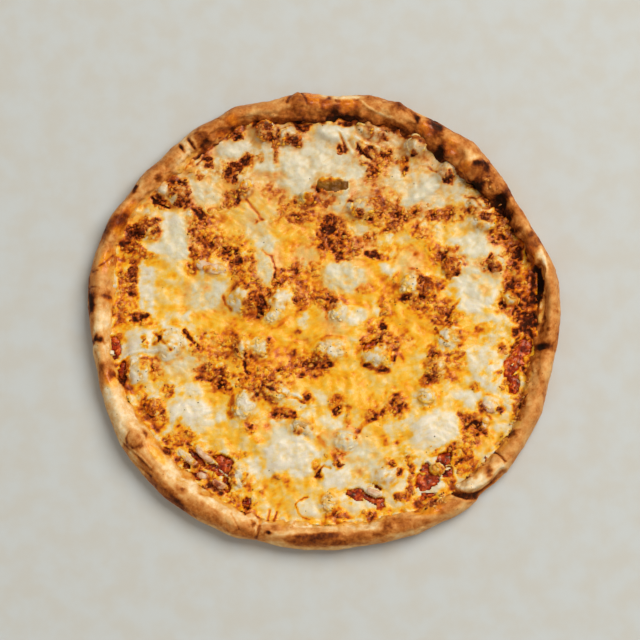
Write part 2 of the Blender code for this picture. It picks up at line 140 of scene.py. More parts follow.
def ovalCover(pixels, oval, ragged, soft):
    # 1 inside the oval and 0 outside, with an edge that wanders by the ragged field
    x, y, halfLength, halfWidth, turn = (*oval, 0)[:5]
    angle = math.radians(turn)
    dx = pixels[:, 0] - x
    dy = pixels[:, 1] - y
    along = dx * math.cos(angle) - dy * math.sin(angle)
    across = dx * math.sin(angle) + dy * math.cos(angle)
    size = (halfLength + halfWidth) / 2
    soft = min(soft, 0.9 * size)
    away = np.hypot(along / halfLength, across / halfWidth) + ragged / (size + 3.0)
    return 1.0 - ease(1.0 - soft / size, 1.0 + soft / size, away)


def strokeCover(pixels, stroke, width, soft):
    # 1 on a line through these places and 0 beside it
    nearest = np.full(len(pixels), 1e6)
    for a, b in zip(stroke[:-1], stroke[1:]):
        start = np.array(a, float)
        run = np.array(b, float) - start
        share = np.clip(((pixels - start) @ run) / (run @ run), 0.0, 1.0)
        nearest = np.minimum(nearest, np.linalg.norm(pixels - start - share[:, None] * run, axis=1))
    return 1.0 - ease(width / 2 - soft / 2, width / 2 + soft / 2, nearest)


def blurGrid(field, cells):
    # soft blur of a square field, by its spectrum
    edge = int(4 * cells) + 2
    padded = np.pad(field, edge, mode="edge")
    rows = np.fft.fftfreq(padded.shape[0])[:, None]
    columns = np.fft.rfftfreq(padded.shape[1])[None, :]
    falloff = np.exp(-2 * (math.pi * cells) ** 2 * (rows**2 + columns**2))
    smooth = np.fft.irfft2(np.fft.rfft2(padded) * falloff, padded.shape)
    return smooth[edge:-edge, edge:-edge]


def surfaceOf(*objects):
    # what rays can be cast at, in millimetres
    points, faces = [], []
    for item in objects:
        start = len(points)
        points += [vertex.co / millimetre for vertex in item.data.vertices]
        faces += [tuple(start + i for i in polygon.vertices) for polygon in item.data.polygons]
    return BVHTree.FromPolygons(points, faces)


def heightUnder(surface, points, missing):
    # height of the surface at these points, or the missing value beside it
    down = Vector((0, 0, -1))
    found = np.full(len(points), missing)
    for i, (x, y) in enumerate(points[:, :2].tolist()):
        hit = surface.ray_cast(Vector((x, y, rayTop)), down)[0]
        if hit is not None:
            found[i] = hit.z
    return found


def addPiece(name, points, faces, masks, material, slotName, *nodes):
    # a smooth mesh in metres that rides on the pizza and stands for these nodes
    mesh = bpy.data.meshes.new(name)
    mesh.from_pydata((np.asarray(points) * millimetre).tolist(), [], faces)
    mesh.update()
    for maskName, values in masks.items():
        layer = mesh.attributes.new(maskName, "FLOAT", "POINT")
        layer.data.foreach_set("value", np.asarray(values, np.float32))
    mesh.shade_smooth()
    mesh.materials.append(material)
    piece = bpy.data.objects.new(name, mesh)
    bpy.context.scene.collection.objects.link(piece)
    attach(piece, "root")
    if nodes:
        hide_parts(*nodes)
    return piece


def paint(code):
    # a screen colour such as F2B233 as the linear colour that a shader wants
    parts = [int(code[i:i + 2], 16) / 255 for i in (0, 2, 4)]
    linear = [c / 12.92 if c <= 0.04045 else ((c + 0.055) / 1.055) ** 2.4 for c in parts]
    return (*linear, 1.0)


def feed(tree, node, inputs):
    # each input takes a value, or a link from a socket
    for socket, value in dict(inputs).items():
        if isinstance(value, bpy.types.NodeSocket):
            tree.links.new(value, node.inputs[socket])
        else:
            node.inputs[socket].default_value = value
    return node


def addNode(tree, kind, inputs=(), **settings):
    made = tree.nodes.new(kind)
    for setting, value in settings.items():
        setattr(made, setting, value)
    return feed(tree, made, inputs)


def addNoise(tree, place, scale, detail, roughness=0.5, distortion=0.0):
    inputs = {
        "Vector": place, "Scale": scale, "Detail": detail, "Roughness": roughness, "Distortion": distortion}
    return addNode(tree, "ShaderNodeTexNoise", inputs).outputs["Fac"]


def addMath(tree, operation, a, b=0.0, c=0.0, clamp=False):
    inputs = {0: a, 1: b, 2: c}
    return addNode(tree, "ShaderNodeMath", inputs, operation=operation, use_clamp=clamp).outputs[0]


def addMix(tree, factor, a, b, blend="MIX"):
    made = addNode(tree, "ShaderNodeMix", {0: factor, 6: a, 7: b}, data_type="RGBA", blend_type=blend)
    return made.outputs[2]


def addRange(tree, value, low, high, newLow=0.0, newHigh=1.0):
    inputs = {0: value, 1: low, 2: high, 3: newLow, 4: newHigh}
    return addNode(tree, "ShaderNodeMapRange", inputs, interpolation_type="SMOOTHSTEP").outputs[0]


def addRamp(tree, factor, stops):
    ramp = addNode(tree, "ShaderNodeValToRGB", {0: factor})
    elements = ramp.color_ramp.elements
    while len(elements) < len(stops):
        elements.new(1.0)
    for element, (place, code) in zip(elements, stops):
        element.position = place
        element.color = paint(code)
    return ramp.outputs[0]


def readMask(tree, name):
    return addNode(tree, "ShaderNodeAttribute", attribute_name=name, attribute_type="GEOMETRY").outputs["Fac"]


def newGroup(name, inputs, outputs):
    group = bpy.data.node_groups.new(name, "ShaderNodeTree")
    kinds = {"f": "NodeSocketFloat", "v": "NodeSocketVector", "c": "NodeSocketColor"}
    for socket, kind in inputs:
        group.interface.new_socket(name=socket, in_out="INPUT", socket_type=kinds[kind])
    for socket, kind in outputs:
        group.interface.new_socket(name=socket, in_out="OUTPUT", socket_type=kinds[kind])
    return group, group.nodes.new("NodeGroupInput"), group.nodes.new("NodeGroupOutput")


def useGroup(tree, group, inputs):
    return addNode(tree, "ShaderNodeGroup", inputs, node_tree=group)


def newMaterial(name):
    # a material with its node tree, its shader and the place on the object
    material = bpy.data.materials.new(name)
    material.use_nodes = True
    tree = material.node_tree
    place = addNode(tree, "ShaderNodeTexCoord").outputs["Object"]
    return material, tree, tree.nodes["Principled BSDF"], place


def addBump(tree, height, look):
    inputs = {"Height": height, "Strength": look["bump"], "Distance": look["bumpDepth"]}
    return addNode(tree, "ShaderNodeBump", inputs).outputs["Normal"]


def bakedGrainGroup():
    # fine crumbs that push the browning up and down and stand up from the surface
    inputs = [("Place", "v"), ("Browning", "f"), ("Grain Size", "f"), ("Strength", "f")]
    group, given, out = newGroup("bakedGrain", inputs, [("Browning", "f"), ("Height", "f")])
    coarse = addNoise(group, given.outputs["Place"], given.outputs["Grain Size"], 3.0, 0.62, 0.6)
    push = addMath(group, "MULTIPLY", addMath(group, "SUBTRACT", coarse, 0.5), given.outputs["Strength"])
    feed(group, out, {"Browning": addMath(group, "ADD", given.outputs["Browning"], push), "Height": coarse})
    return group


def speckGroup():
    # scattered dark specks of pepper and char
    inputs = [("Place", "v"), ("Spacing", "f"), ("Share", "f")]
    group, given, out = newGroup("speck", inputs, [("Mask", "f")])
    cells = addNode(group, "ShaderNodeTexVoronoi", {
        "Vector": given.outputs["Place"], "Scale": given.outputs["Spacing"], "Randomness": 1.0})
    wander = addNoise(group, given.outputs["Place"], 900.0, 1.0)
    edge = addMath(group, "MULTIPLY_ADD", wander, 0.25, cells.outputs["Distance"])
    dot = addRange(group, edge, 0.34, 0.22)
    chosen = addNode(group, "ShaderNodeSeparateColor", {0: cells.outputs["Color"]})
    kept = addMath(group, "LESS_THAN", chosen.outputs[0], given.outputs["Share"])
    feed(group, out, {"Mask": addMath(group, "MULTIPLY", dot, kept)})
    return group


bakedGrain = bakedGrainGroup()
speck = speckGroup()


def addSpecks(tree, place, look, colour, code, strength=1.0):
    # specks of this colour code over the colour
    specks = useGroup(tree, speck, {
        "Place": place, "Spacing": look["specksPerMetre"], "Share": look["speckShare"]})
    cover = specks.outputs["Mask"]
    if strength < 1.0:
        cover = addMath(tree, "MULTIPLY", cover, strength)
    return addMix(tree, cover, colour, paint(code))


# How far each part of the cheese is baked, from 0, white and melted, to 1, burnt; the dark and darkest zones
# also hold painted shadow.
# Ovals on the picture: x, y, half length, half width, turn of the length in degrees.
# Each zone starts with its browning, how crumbly it is, the softness of its edge in pixels and its strength.
cheeseZones = {
    "toasted": (0.56, 1.0, 6.0, 0.85, [
        (216, 228, 30, 36, -12), (205, 205, 12, 16, -40), (258, 287, 24, 26, 20), (292, 210, 34, 18),
        (335, 236, 24, 20), (388, 214, 30, 20), (300, 282, 24, 22), (300, 364, 32, 15),
        (262, 380, 30, 17), (217, 345, 26, 17), (208, 374, 22, 12), (432, 216, 38, 12, 4),
        (447, 255, 20, 12), (424, 292, 20, 18), (442, 318, 22, 12), (396, 335, 16, 24),
        (443, 366, 22, 14), (396, 404, 13, 14), (372, 414, 18, 12), (472, 430, 18, 16),
        (504, 240, 15, 22), (520, 300, 16, 44), (154, 412, 14, 14), (128, 285, 12, 34),
        (180, 438, 18, 12), (226, 490, 24, 10), (250, 508, 12, 16), (338, 516, 12, 6), (372, 516, 10, 6),
        (425, 508, 22, 9), (252, 428, 11, 12), (341, 405, 10, 15), (318, 470, 7, 13, 30),
        (377, 155, 22, 15), (372, 178, 14, 14), (232, 168, 18, 12, 15), (150, 228, 13, 13),
        (132, 240, 12, 16), (178, 190, 12, 12), (275, 140, 14, 14), (290, 138, 12, 8), (205, 165, 9, 9),
        (372, 336, 16, 16, -40), (455, 350, 14, 9), (468, 188, 6, 6), (405, 163, 6, 9),
        (488, 265, 12, 10), (478, 285, 12, 8), (140, 258, 16, 8), (122, 310, 9, 14), (160, 370, 12, 14),
        (150, 395, 12, 10), (505, 305, 12, 12), (455, 450, 14, 10), (466, 465, 12, 12),
        (405, 460, 10, 12), (388, 465, 10, 8), (335, 460, 12, 10), (248, 480, 8, 10), (272, 488, 14, 8),
        (385, 250, 14, 9), (350, 252, 14, 10), (480, 400, 12, 8), (515, 400, 10, 16), (320, 205, 14, 8),
        (240, 205, 12, 12), (262, 190, 12, 10), (255, 262, 14, 14), (238, 262, 12, 16),
        (330, 300, 14, 12), (392, 288, 12, 16),
    ]),
    "paleYellow": (0.25, 0.10, 5.0, 0.9, [
        (172, 285, 30, 28), (222, 437, 17, 15), (285, 175, 28, 12), (358, 188, 20, 9, 12),
        (368, 382, 34, 23), (352, 330, 14, 10), (455, 397, 26, 17), (412, 375, 14, 20),
        (410, 262, 12, 12), (350, 425, 34, 18), (220, 400, 24, 15), (262, 440, 22, 18),
        (290, 490, 34, 22), (186, 375, 24, 12), (440, 232, 20, 9), (232, 222, 12, 14), (205, 195, 24, 12),
        (470, 330, 18, 8), (300, 345, 20, 8), (375, 455, 26, 20), (358, 475, 16, 14), (255, 205, 22, 24),
        (490, 420, 18, 14), (245, 470, 14, 12),
    ]),
    "cream": (0.14, 0.32, 4.6, 0.85, [
        (285, 175, 28, 12), (358, 188, 18, 8, 12), (205, 195, 20, 9), (358, 475, 16, 12),
        (196, 170, 13, 11), (312, 160, 34, 22), (300, 187, 16, 13), (262, 147, 12, 10), (348, 172, 18, 9),
        (360, 226, 17, 11), (206, 294, 17, 17), (172, 362, 15, 9), (178, 347, 18, 13, -20),
        (190, 391, 16, 9), (265, 266, 9, 20, 8), (345, 277, 22, 15), (388, 251, 10, 8),
        (338, 313, 11, 13), (376, 309, 4, 9, 15), (395, 238, 11, 7), (438, 178, 26, 15, 30),
        (456, 197, 19, 9, 8), (430, 229, 12, 8), (420, 148, 8, 10), (418, 166, 16, 6, 20),
        (456, 287, 18, 13), (497, 342, 18, 9), (485, 352, 16, 12), (262, 346, 10, 13), (272, 318, 11, 8),
        (238, 410, 10, 12), (345, 440, 12, 9), (336, 348, 17, 11), (380, 357, 15, 10), (447, 340, 12, 12),
        (437, 367, 8, 9), (427, 397, 11, 9), (510, 298, 8, 7), (510, 410, 10, 8), (408, 284, 12, 10),
        (495, 264, 5, 9), (240, 302, 17, 12, 10), (304, 320, 6, 9), (335, 420, 16, 10), (155, 392, 9, 9),
        (138, 372, 12, 14), (245, 344, 6, 9), (242, 476, 10, 13), (400, 475, 13, 13), (372, 502, 9, 6),
        (328, 504, 8, 10), (442, 486, 10, 7, -20), (180, 425, 20, 8), (215, 375, 9, 4), (345, 207, 9, 8),
        (362, 208, 10, 9, 10), (480, 205, 12, 9), (268, 420, 10, 6), (290, 428, 16, 9),
        (210, 268, 16, 8, -12), (290, 395, 20, 5, -28), (385, 130, 12, 6), (500, 395, 10, 8),
        (375, 138, 12, 6, -35),
    ]),
    "white": (0.03, 0.2, 5.0, 0.92, [
        (312, 160, 30, 18), (348, 172, 16, 8), (300, 186, 14, 11), (170, 235, 14, 24, 8),
        (168, 251, 22, 6, -12), (147, 288, 8, 25), (268, 164, 12, 5), (249, 146, 11, 4, 5),
        (235, 150, 14, 8, 20), (153, 208, 11, 6, -35), (332, 133, 15, 12), (300, 155, 16, 12),
        (268, 244, 15, 8), (387, 269, 9, 5, -25), (336, 270, 9, 5, -10), (430, 184, 35, 8, 38),
        (476, 246, 28, 12), (472, 292, 26, 22), (503, 324, 13, 9), (488, 376, 20, 13, -40),
        (435, 431, 27, 17, 15), (292, 452, 27, 17), (335, 474, 15, 17), (145, 344, 18, 14, 20),
        (190, 413, 22, 13, 10), (237, 478, 7, 12), (284, 299, 8, 12, -20), (355, 317, 12, 8),
        (360, 450, 10, 7), (322, 395, 6, 6), (305, 411, 8, 7), (378, 471, 10, 8), (139, 373, 6, 9, -20),
        (310, 508, 9, 8), (476, 220, 8, 12, -30), (165, 187, 8, 6, 30), (258, 134, 6, 9),
        (286, 132, 8, 7), (351, 206, 12, 4, -40), (488, 407, 5, 8), (189, 458, 12, 2.5, -42),
        (205, 456, 12, 2.5, -42), (204, 472, 5, 6), (237, 478, 7, 12), (262, 468, 20, 10),
        (220, 289, 10, 8), (300, 470, 14, 8), (372, 490, 10, 5, -25), (428, 212, 30, 4, 30),
        (244, 404, 7, 8), (285, 435, 12, 8), (165, 345, 6, 8), (468, 398, 16, 9), (505, 428, 14, 4),
        (478, 424, 4, 8), (415, 510, 8, 9), (433, 468, 4, 5),
    ]),
    "mottled": (0.34, 0.6, 4.0, 0.6, [
        (503, 326, 11, 7), (497, 342, 16, 8), (488, 376, 14, 8, -40), (165, 345, 6, 8), (286, 132, 8, 7),
        (153, 208, 9, 5, -35), (196, 170, 11, 9), (388, 251, 10, 8), (430, 229, 12, 8), (420, 148, 8, 10),
        (418, 166, 14, 6, 20), (385, 130, 12, 6), (375, 138, 12, 6, -35), (448, 172, 8, 8),
        (244, 187, 8, 9), (477, 204, 9, 8), (485, 223, 9, 8), (210, 267, 16, 7, -12), (203, 463, 24, 20),
        (385, 357, 12, 8), (362, 207, 12, 9), (302, 427, 9, 8), (340, 146, 7, 6), (380, 357, 12, 8),
        (426, 398, 9, 8), (328, 503, 8, 8),
    ]),
    "edge": (0.14, 0.2, 4.0, 0.9, [
        (300, 518, 34, 9), (262, 512, 10, 8), (375, 518, 16, 5), (345, 524, 20, 5),
        (215, 498, 14, 5, -30),
    ]),
    "golden": (0.38, 0.12, 3.6, 0.8, [
        (172, 275, 6, 4), (158, 283, 5, 4), (187, 286, 4, 13, 5), (178, 308, 18, 4), (212, 319, 20, 10),
        (173, 320, 5, 4), (228, 186, 14, 7), (219, 222, 13, 8), (316, 208, 10, 5), (292, 226, 20, 14),
        (270, 176, 14, 5), (285, 255, 12, 11), (374, 275, 8, 10), (352, 299, 16, 5), (315, 320, 6, 12),
        (252, 328, 17, 7), (293, 345, 22, 7), (286, 328, 8, 9), (326, 381, 16, 12), (404, 386, 7, 14),
        (455, 291, 4, 4), (430, 252, 7, 14), (415, 325, 19, 14), (485, 288, 6, 8), (488, 312, 6, 4),
        (467, 325, 4, 7), (457, 374, 12, 6), (440, 400, 4, 9), (457, 405, 5, 5), (405, 435, 9, 6),
        (378, 433, 7, 7), (363, 472, 5, 5), (365, 401, 20, 9), (321, 442, 8, 9, -40), (333, 455, 4, 5),
        (308, 483, 4, 5), (293, 491, 6, 5), (277, 490, 5, 4), (280, 505, 9, 7), (266, 428, 5, 4),
        (263, 463, 4, 4), (233, 440, 7, 10), (120, 262, 20, 5, -5), (155, 264, 14, 4, -10),
        (483, 440, 9, 12), (290, 245, 14, 8), (310, 285, 12, 12), (385, 290, 14, 12), (300, 335, 12, 6),
        (270, 335, 10, 6), (230, 330, 14, 12), (215, 395, 12, 9), (345, 330, 6, 6), (362, 265, 8, 5),
        (395, 320, 10, 16), (418, 262, 12, 10), (400, 350, 12, 10), (445, 320, 10, 6), (275, 360, 26, 8),
        (350, 380, 12, 10),
    ]),
    "orange": (0.54, 0.6, 3.2, 0.75, [
        (370, 181, 9, 8), (385, 196, 10, 10), (430, 241, 6, 13, 10), (461, 335, 13, 5), (485, 328, 9, 6),
        (466, 257, 5, 3), (476, 277, 4, 2), (175, 440, 10, 6), (160, 424, 8, 8, -40), (126, 322, 12, 9),
        (128, 305, 8, 9), (152, 325, 8, 5), (213, 232, 12, 7), (232, 337, 8, 12), (208, 347, 12, 9),
        (231, 355, 8, 9), (252, 366, 14, 9), (297, 353, 16, 5), (338, 515, 10, 8), (240, 455, 11, 4),
        (218, 491, 12, 4), (352, 251, 10, 6), (322, 296, 6, 12), (248, 314, 8, 8), (270, 191, 11, 9),
        (302, 216, 24, 8), (412, 222, 8, 11), (456, 207, 9, 6), (420, 305, 14, 6), (448, 303, 9, 6),
        (348, 416, 4, 11), (425, 507, 14, 10), (466, 424, 8, 8), (465, 462, 10, 11), (232, 408, 5, 14),
        (250, 426, 6, 8), (288, 481, 5, 7), (257, 441, 6, 4), (391, 443, 8, 4), (515, 275, 9, 6),
        (520, 300, 6, 9), (133, 390, 7, 5), (246, 266, 9, 10), (336, 400, 8, 6), (378, 412, 10, 7),
        (505, 390, 7, 5), (300, 285, 9, 9), (178, 424, 4, 7, -20), (365, 290, 10, 5), (228, 200, 7, 9),
        (440, 285, 10, 5, 20), (428, 315, 12, 4), (395, 395, 9, 7), (300, 365, 20, 8), (255, 380, 18, 8),
    ]),
    "rust": (0.68, 0.9, 2.6, 0.75, [
        (384, 136, 8, 3.5, -25), (264, 131, 9, 10), (481, 199, 5, 3), (470, 209, 5, 3), (489, 219, 5, 5),
        (480, 227, 4, 3), (352, 213, 5, 4), (372, 203, 4, 3), (428, 290, 5, 8), (458, 462, 5, 8),
        (408, 492, 6, 5), (440, 452, 10, 3, 20), (196, 452, 14, 2, -42), (182, 462, 8, 3, -40),
        (197, 466, 9, 3, -40), (281, 414, 13, 7), (411, 480, 5, 12), (424, 500, 14, 5), (450, 482, 6, 8),
        (503, 350, 5, 8), (506, 384, 5, 8), (233, 476, 4, 12), (213, 457, 8, 4, -40), (350, 494, 5, 5),
        (383, 508, 6, 4), (118, 336, 5, 4), (116, 363, 4, 5), (308, 197, 6, 5), (203, 463, 12, 2.5, -40),
        (196, 471, 10, 3, -35), (213, 471, 12, 2.5, -45), (214, 481, 12, 3, -40), (211, 269, 8, 3, -10),
        (437, 469, 6, 6), (514, 255, 9, 16), (522, 322, 12, 22), (520, 285, 12, 16), (264, 131, 7, 10),
        (236, 134, 8, 6), (500, 214, 9, 8), (526, 362, 7, 14), (330, 187, 17, 9), (448, 178, 6, 6),
        (498, 240, 10, 6), (244, 190, 5, 6), (488, 205, 5, 4), (476, 214, 6, 4), (372, 130, 7, 4),
        (184, 196, 6, 10), (170, 184, 4, 6), (178, 188, 9, 12, -40), (197, 174, 5, 5), (233, 198, 9, 9),
        (200, 228, 8, 13), (211, 242, 15, 6), (192, 269, 7, 6), (201, 250, 12, 9), (229, 253, 11, 8),
        (237, 268, 6, 12), (246, 270, 6, 8), (188, 337, 6, 4, -40), (193, 350, 5, 6),
        (215, 375, 20, 7, -10), (223, 385, 11, 8, -30), (260, 385, 19, 9, -10), (255, 300, 11, 10),
        (262, 310, 7, 11), (288, 275, 17, 8, 30), (300, 302, 7, 6), (310, 292, 8, 7), (330, 302, 8, 9),
        (308, 368, 22, 9), (322, 358, 8, 5, -30), (384, 306, 5, 10, 15), (383, 331, 5, 8, -30),
        (393, 346, 8, 7), (336, 234, 17, 13), (345, 247, 20, 8), (297, 218, 14, 5), (392, 212, 12, 8),
        (393, 227, 10, 7), (373, 222, 8, 6), (372, 236, 7, 6), (365, 148, 8, 9), (384, 158, 8, 10),
        (374, 170, 6, 8), (293, 139, 9, 6), (259, 157, 5, 3), (276, 152, 3.5, 13), (247, 160, 9, 7),
        (437, 214, 22, 6), (418, 232, 7, 8), (440, 254, 11, 7, 20), (455, 250, 8, 4), (404, 166, 5, 8),
        (452, 268, 9, 10), (424, 288, 7, 12), (412, 300, 10, 5), (447, 311, 10, 6), (443, 322, 12, 5),
        (431, 353, 6, 10), (433, 373, 8, 10), (458, 356, 6, 5), (452, 380, 7, 4), (425, 384, 6, 5),
        (466, 264, 4, 3), (494, 265, 6, 9), (475, 387, 5, 5), (490, 364, 4, 2.5), (497, 373, 4, 3),
        (480, 408, 4, 6), (501, 410, 5, 3), (471, 418, 14, 6, -20), (475, 439, 6, 10), (467, 453, 6, 5),
        (453, 447, 5, 4), (396, 406, 8, 11), (370, 417, 9, 6), (390, 464, 7, 5, -30), (370, 516, 6, 6),
        (337, 407, 6, 9), (318, 472, 4, 9, 30), (338, 462, 5, 7, -20), (308, 399, 6, 7),
        (271, 400, 9, 3, -25), (255, 398, 4, 4), (251, 430, 4, 5), (245, 478, 3, 8), (277, 478, 5, 4),
        (262, 494, 4, 4), (248, 503, 6, 7), (252, 519, 8, 6), (153, 406, 8, 7), (168, 389, 6, 4, 20),
        (144, 364, 4, 8, -30), (145, 343, 4, 7), (155, 371, 5, 7), (170, 452, 6, 5), (186, 431, 5, 3),
        (195, 436, 6, 3), (165, 418, 3, 6), (140, 252, 10, 5, -20), (104, 294, 5, 2), (512, 235, 7, 9),
        (497, 233, 8, 6), (508, 240, 6, 8), (515, 287, 12, 12), (528, 312, 12, 14), (523, 345, 9, 8),
        (521, 411, 9, 8), (519, 420, 8, 3), (387, 518, 4, 5), (255, 220, 5, 3), (155, 222, 6, 4),
        (157, 233, 4, 5), (147, 226, 5, 8), (138, 318, 9, 8), (131, 260, 14, 3, -5), (402, 497, 8, 6),
        (486, 433, 7, 4, -30),
    ]),
    # dark baked spots, and painted shadow in the gaps beside lumps and along the wall
    "dark": (0.78, 0.8, 3.0, 0.85, [
        (180, 202, 5, 8, -30), (161, 202, 8, 5, -30), (198, 213, 12, 4.5, -48), (134, 233, 9, 9),
        (146, 226, 4, 7, -25), (154, 232, 5, 3.5, 40), (237, 165, 15, 6, 25), (231, 178, 6, 5),
        (208, 163, 4, 4), (268, 133, 3.5, 9), (278, 135, 2.5, 8), (296, 142, 6, 4), (366, 150, 7, 6),
        (386, 153, 6, 5), (376, 168, 4, 6), (341, 148, 3, 5), (328, 232, 12, 10), (334, 243, 14, 8),
        (322, 248, 5, 9), (340, 257, 4, 5), (331, 219, 9, 5, 30), (375, 255, 11, 5, -12),
        (282, 281, 8, 4, 30), (296, 275, 4, 5), (253, 297, 5, 6), (261, 311, 5, 10), (246, 301, 5, 3),
        (298, 301, 6, 3, -20), (300, 310, 5, 1.6, 5), (331, 300, 5, 5), (299, 332, 4, 3),
        (384, 328, 3, 5), (203, 367, 6, 4, 20), (223, 383, 6, 5), (200, 379, 10, 3), (192, 252, 4, 6),
        (225, 252, 5, 5), (236, 262, 6, 4), (202, 243, 5, 4), (235, 199, 5, 4), (130, 247, 12, 6, -10),
        (131, 275, 5, 10, -25), (131, 291, 6, 4, -20), (137, 316, 6, 5), (143, 318, 3, 4),
        (124, 371, 5, 12, -15), (281, 415, 11, 5.5), (428, 291, 4, 6), (308, 397, 4, 5), (298, 432, 4, 4),
        (336, 412, 3.5, 5), (338, 465, 3, 4), (317, 473, 2.5, 6, 30), (150, 404, 4, 5),
        (170, 396, 5, 3, 30), (254, 525, 3, 3), (440, 218, 13, 3.5, 5), (405, 165, 4, 6),
        (449, 267, 5, 8, 20), (453, 274, 7, 3), (425, 285, 6, 9, -20), (406, 297, 6, 3), (447, 311, 3, 3),
        (491, 262, 3, 8), (498, 268, 5, 3, 20), (486, 217, 5, 4), (486, 201, 4, 2, -40), (503, 236, 6, 3),
        (503, 303, 4, 5), (508, 312, 6, 4, -20), (517, 281, 6, 7, -30), (528, 300, 7, 10),
        (528, 318, 9, 8), (517, 333, 5, 7), (523, 345, 8, 6), (432, 352, 4, 7, -20), (435, 379, 4, 3),
        (489, 416, 5, 2, -50), (484, 409, 3, 4), (500, 411, 4, 2, -30), (478, 427, 12, 3.5, -40),
        (451, 448, 3, 2), (411, 467, 4, 5), (403, 497, 6, 4), (395, 407, 3, 8, -10),
        (400, 472, 3, 6, -30), (470, 418, 8, 3, -15), (368, 367, 4, 3), (381, 370, 9, 3, -5),
        (393, 360, 3, 6, -30), (368, 348, 6, 5), (330, 514, 6, 2.5), (374, 517, 3, 3),
        (360, 215, 6, 4, 15), (351, 202, 4, 2, -20), (415, 154, 3, 3), (450, 176, 4, 6), (275, 120, 5, 3),
        (302, 127, 5, 4), (258, 121, 4, 5), (512, 384, 4, 9), (520, 365, 4, 12), (246, 352, 2, 8),
        (160, 338, 2.5, 9, -35), (268, 346, 2.5, 7, -10), (430, 447, 0.8, 0.8),
    ]),
    # burnt spots, and painted shadow in the hole under the torn lip on the right and in gaps at the wall
    "darkest": (0.87, 0.85, 3.2, 0.9, [
        (524, 322, 6, 9), (511, 289, 4, 6), (527, 338, 3, 6), (517, 312, 5, 4), (237, 165, 13, 5, 25),
        (231, 178, 5, 5), (208, 163, 4, 4), (268, 133, 4.5, 9), (296, 142, 6, 4), (303, 127, 6, 4),
        (533, 322, 4, 14), (303, 126, 8, 5), (346, 123, 8, 3), (376, 168, 4, 6), (341, 148, 3, 5),
        (340, 257, 4, 5), (374, 255, 10, 4, -12), (486, 217, 5, 4), (486, 201, 5, 2.5, -40),
        (384, 328, 3, 5), (143, 318, 5, 5), (415, 154, 3, 4), (450, 177, 4, 6), (200, 213, 10, 4, -50),
        (136, 234, 8, 7), (150, 226, 5, 4), (158, 203, 9, 4, -40), (181, 205, 5, 4), (517, 254, 7, 12),
        (503, 209, 6, 8), (133, 275, 4, 7), (132, 293, 4, 5), (124, 377, 4, 8), (516, 348, 12, 5, 60),
        (529, 330, 5, 12), (236, 135, 6, 4), (330, 226, 8, 10), (534, 285, 3, 14), (478, 185, 7, 4),
        (446, 152, 4, 5),
    ]),
}

# Mounds of melted cheese: an oval as above and its height in millimetres
cheeseMounds = [
    (331, 131, 15, 8, -20, 2.2), (352, 132, 7, 5, 0, 1.2), (376, 130, 14, 7, -10, 1.2),
    (360, 143, 12, 5, -35, 1.6), (263, 131, 10, 9, 0, 1.0), (290, 133, 9, 6, -20, 1.2),
    (418, 145, 9, 9, 0, 3.2), (410, 161, 9, 4, 20, 1.2), (446, 172, 7, 8, -30, 1.6),
    (430, 187, 24, 6, 38, 1.2), (468, 190, 6, 5, 0, 1.2), (462, 202, 9, 5, 10, 1.2),
    (478, 205, 7, 6, 0, 1.3), (476, 220, 8, 8, 0, 1.4), (492, 214, 6, 6, 0, 1.3),
    (487, 228, 7, 5, 0, 1.0), (198, 168, 11, 10, 20, 1.8), (163, 189, 7, 6, 30, 1.4),
    (176, 194, 9, 8, 0, 1.2), (152, 210, 9, 6, -30, 1.2), (235, 148, 14, 7, 15, 1.4),
    (172, 232, 12, 20, 0, 0.8), (143, 344, 14, 12, 0, 1.3), (140, 374, 8, 13, -10, 1.2),
    (165, 345, 9, 11, -30, 0.9), (205, 294, 18, 14, 0, 0.8), (234, 300, 14, 9, 10, 1.0),
    (283, 297, 9, 12, -20, 0.9), (346, 276, 26, 13, 0, 1.0), (268, 256, 9, 16, 8, 0.9),
    (357, 315, 14, 9, 0, 0.9), (388, 268, 9, 6, 0, 0.8), (472, 296, 24, 18, 0, 0.9),
    (476, 246, 26, 11, 0, 1.0), (512, 298, 8, 8, 0, 1.3), (522, 272, 7, 9, 0, 1.4),
    (529, 290, 5, 8, 0, 1.2), (529, 322, 7, 7, 0, 1.4), (516, 334, 6, 8, 0, 1.0),
    (487, 376, 19, 12, -40, 0.9), (436, 431, 26, 16, 15, 1.1), (290, 452, 26, 16, 0, 0.9),
    (335, 474, 15, 15, 0, 0.8), (190, 412, 20, 12, 10, 0.8), (385, 480, 12, 8, 0, 1.0),
    (440, 489, 9, 6, 0, 1.0), (361, 506, 8, 5, 0, 0.8), (345, 441, 12, 9, 0, 0.5),
]
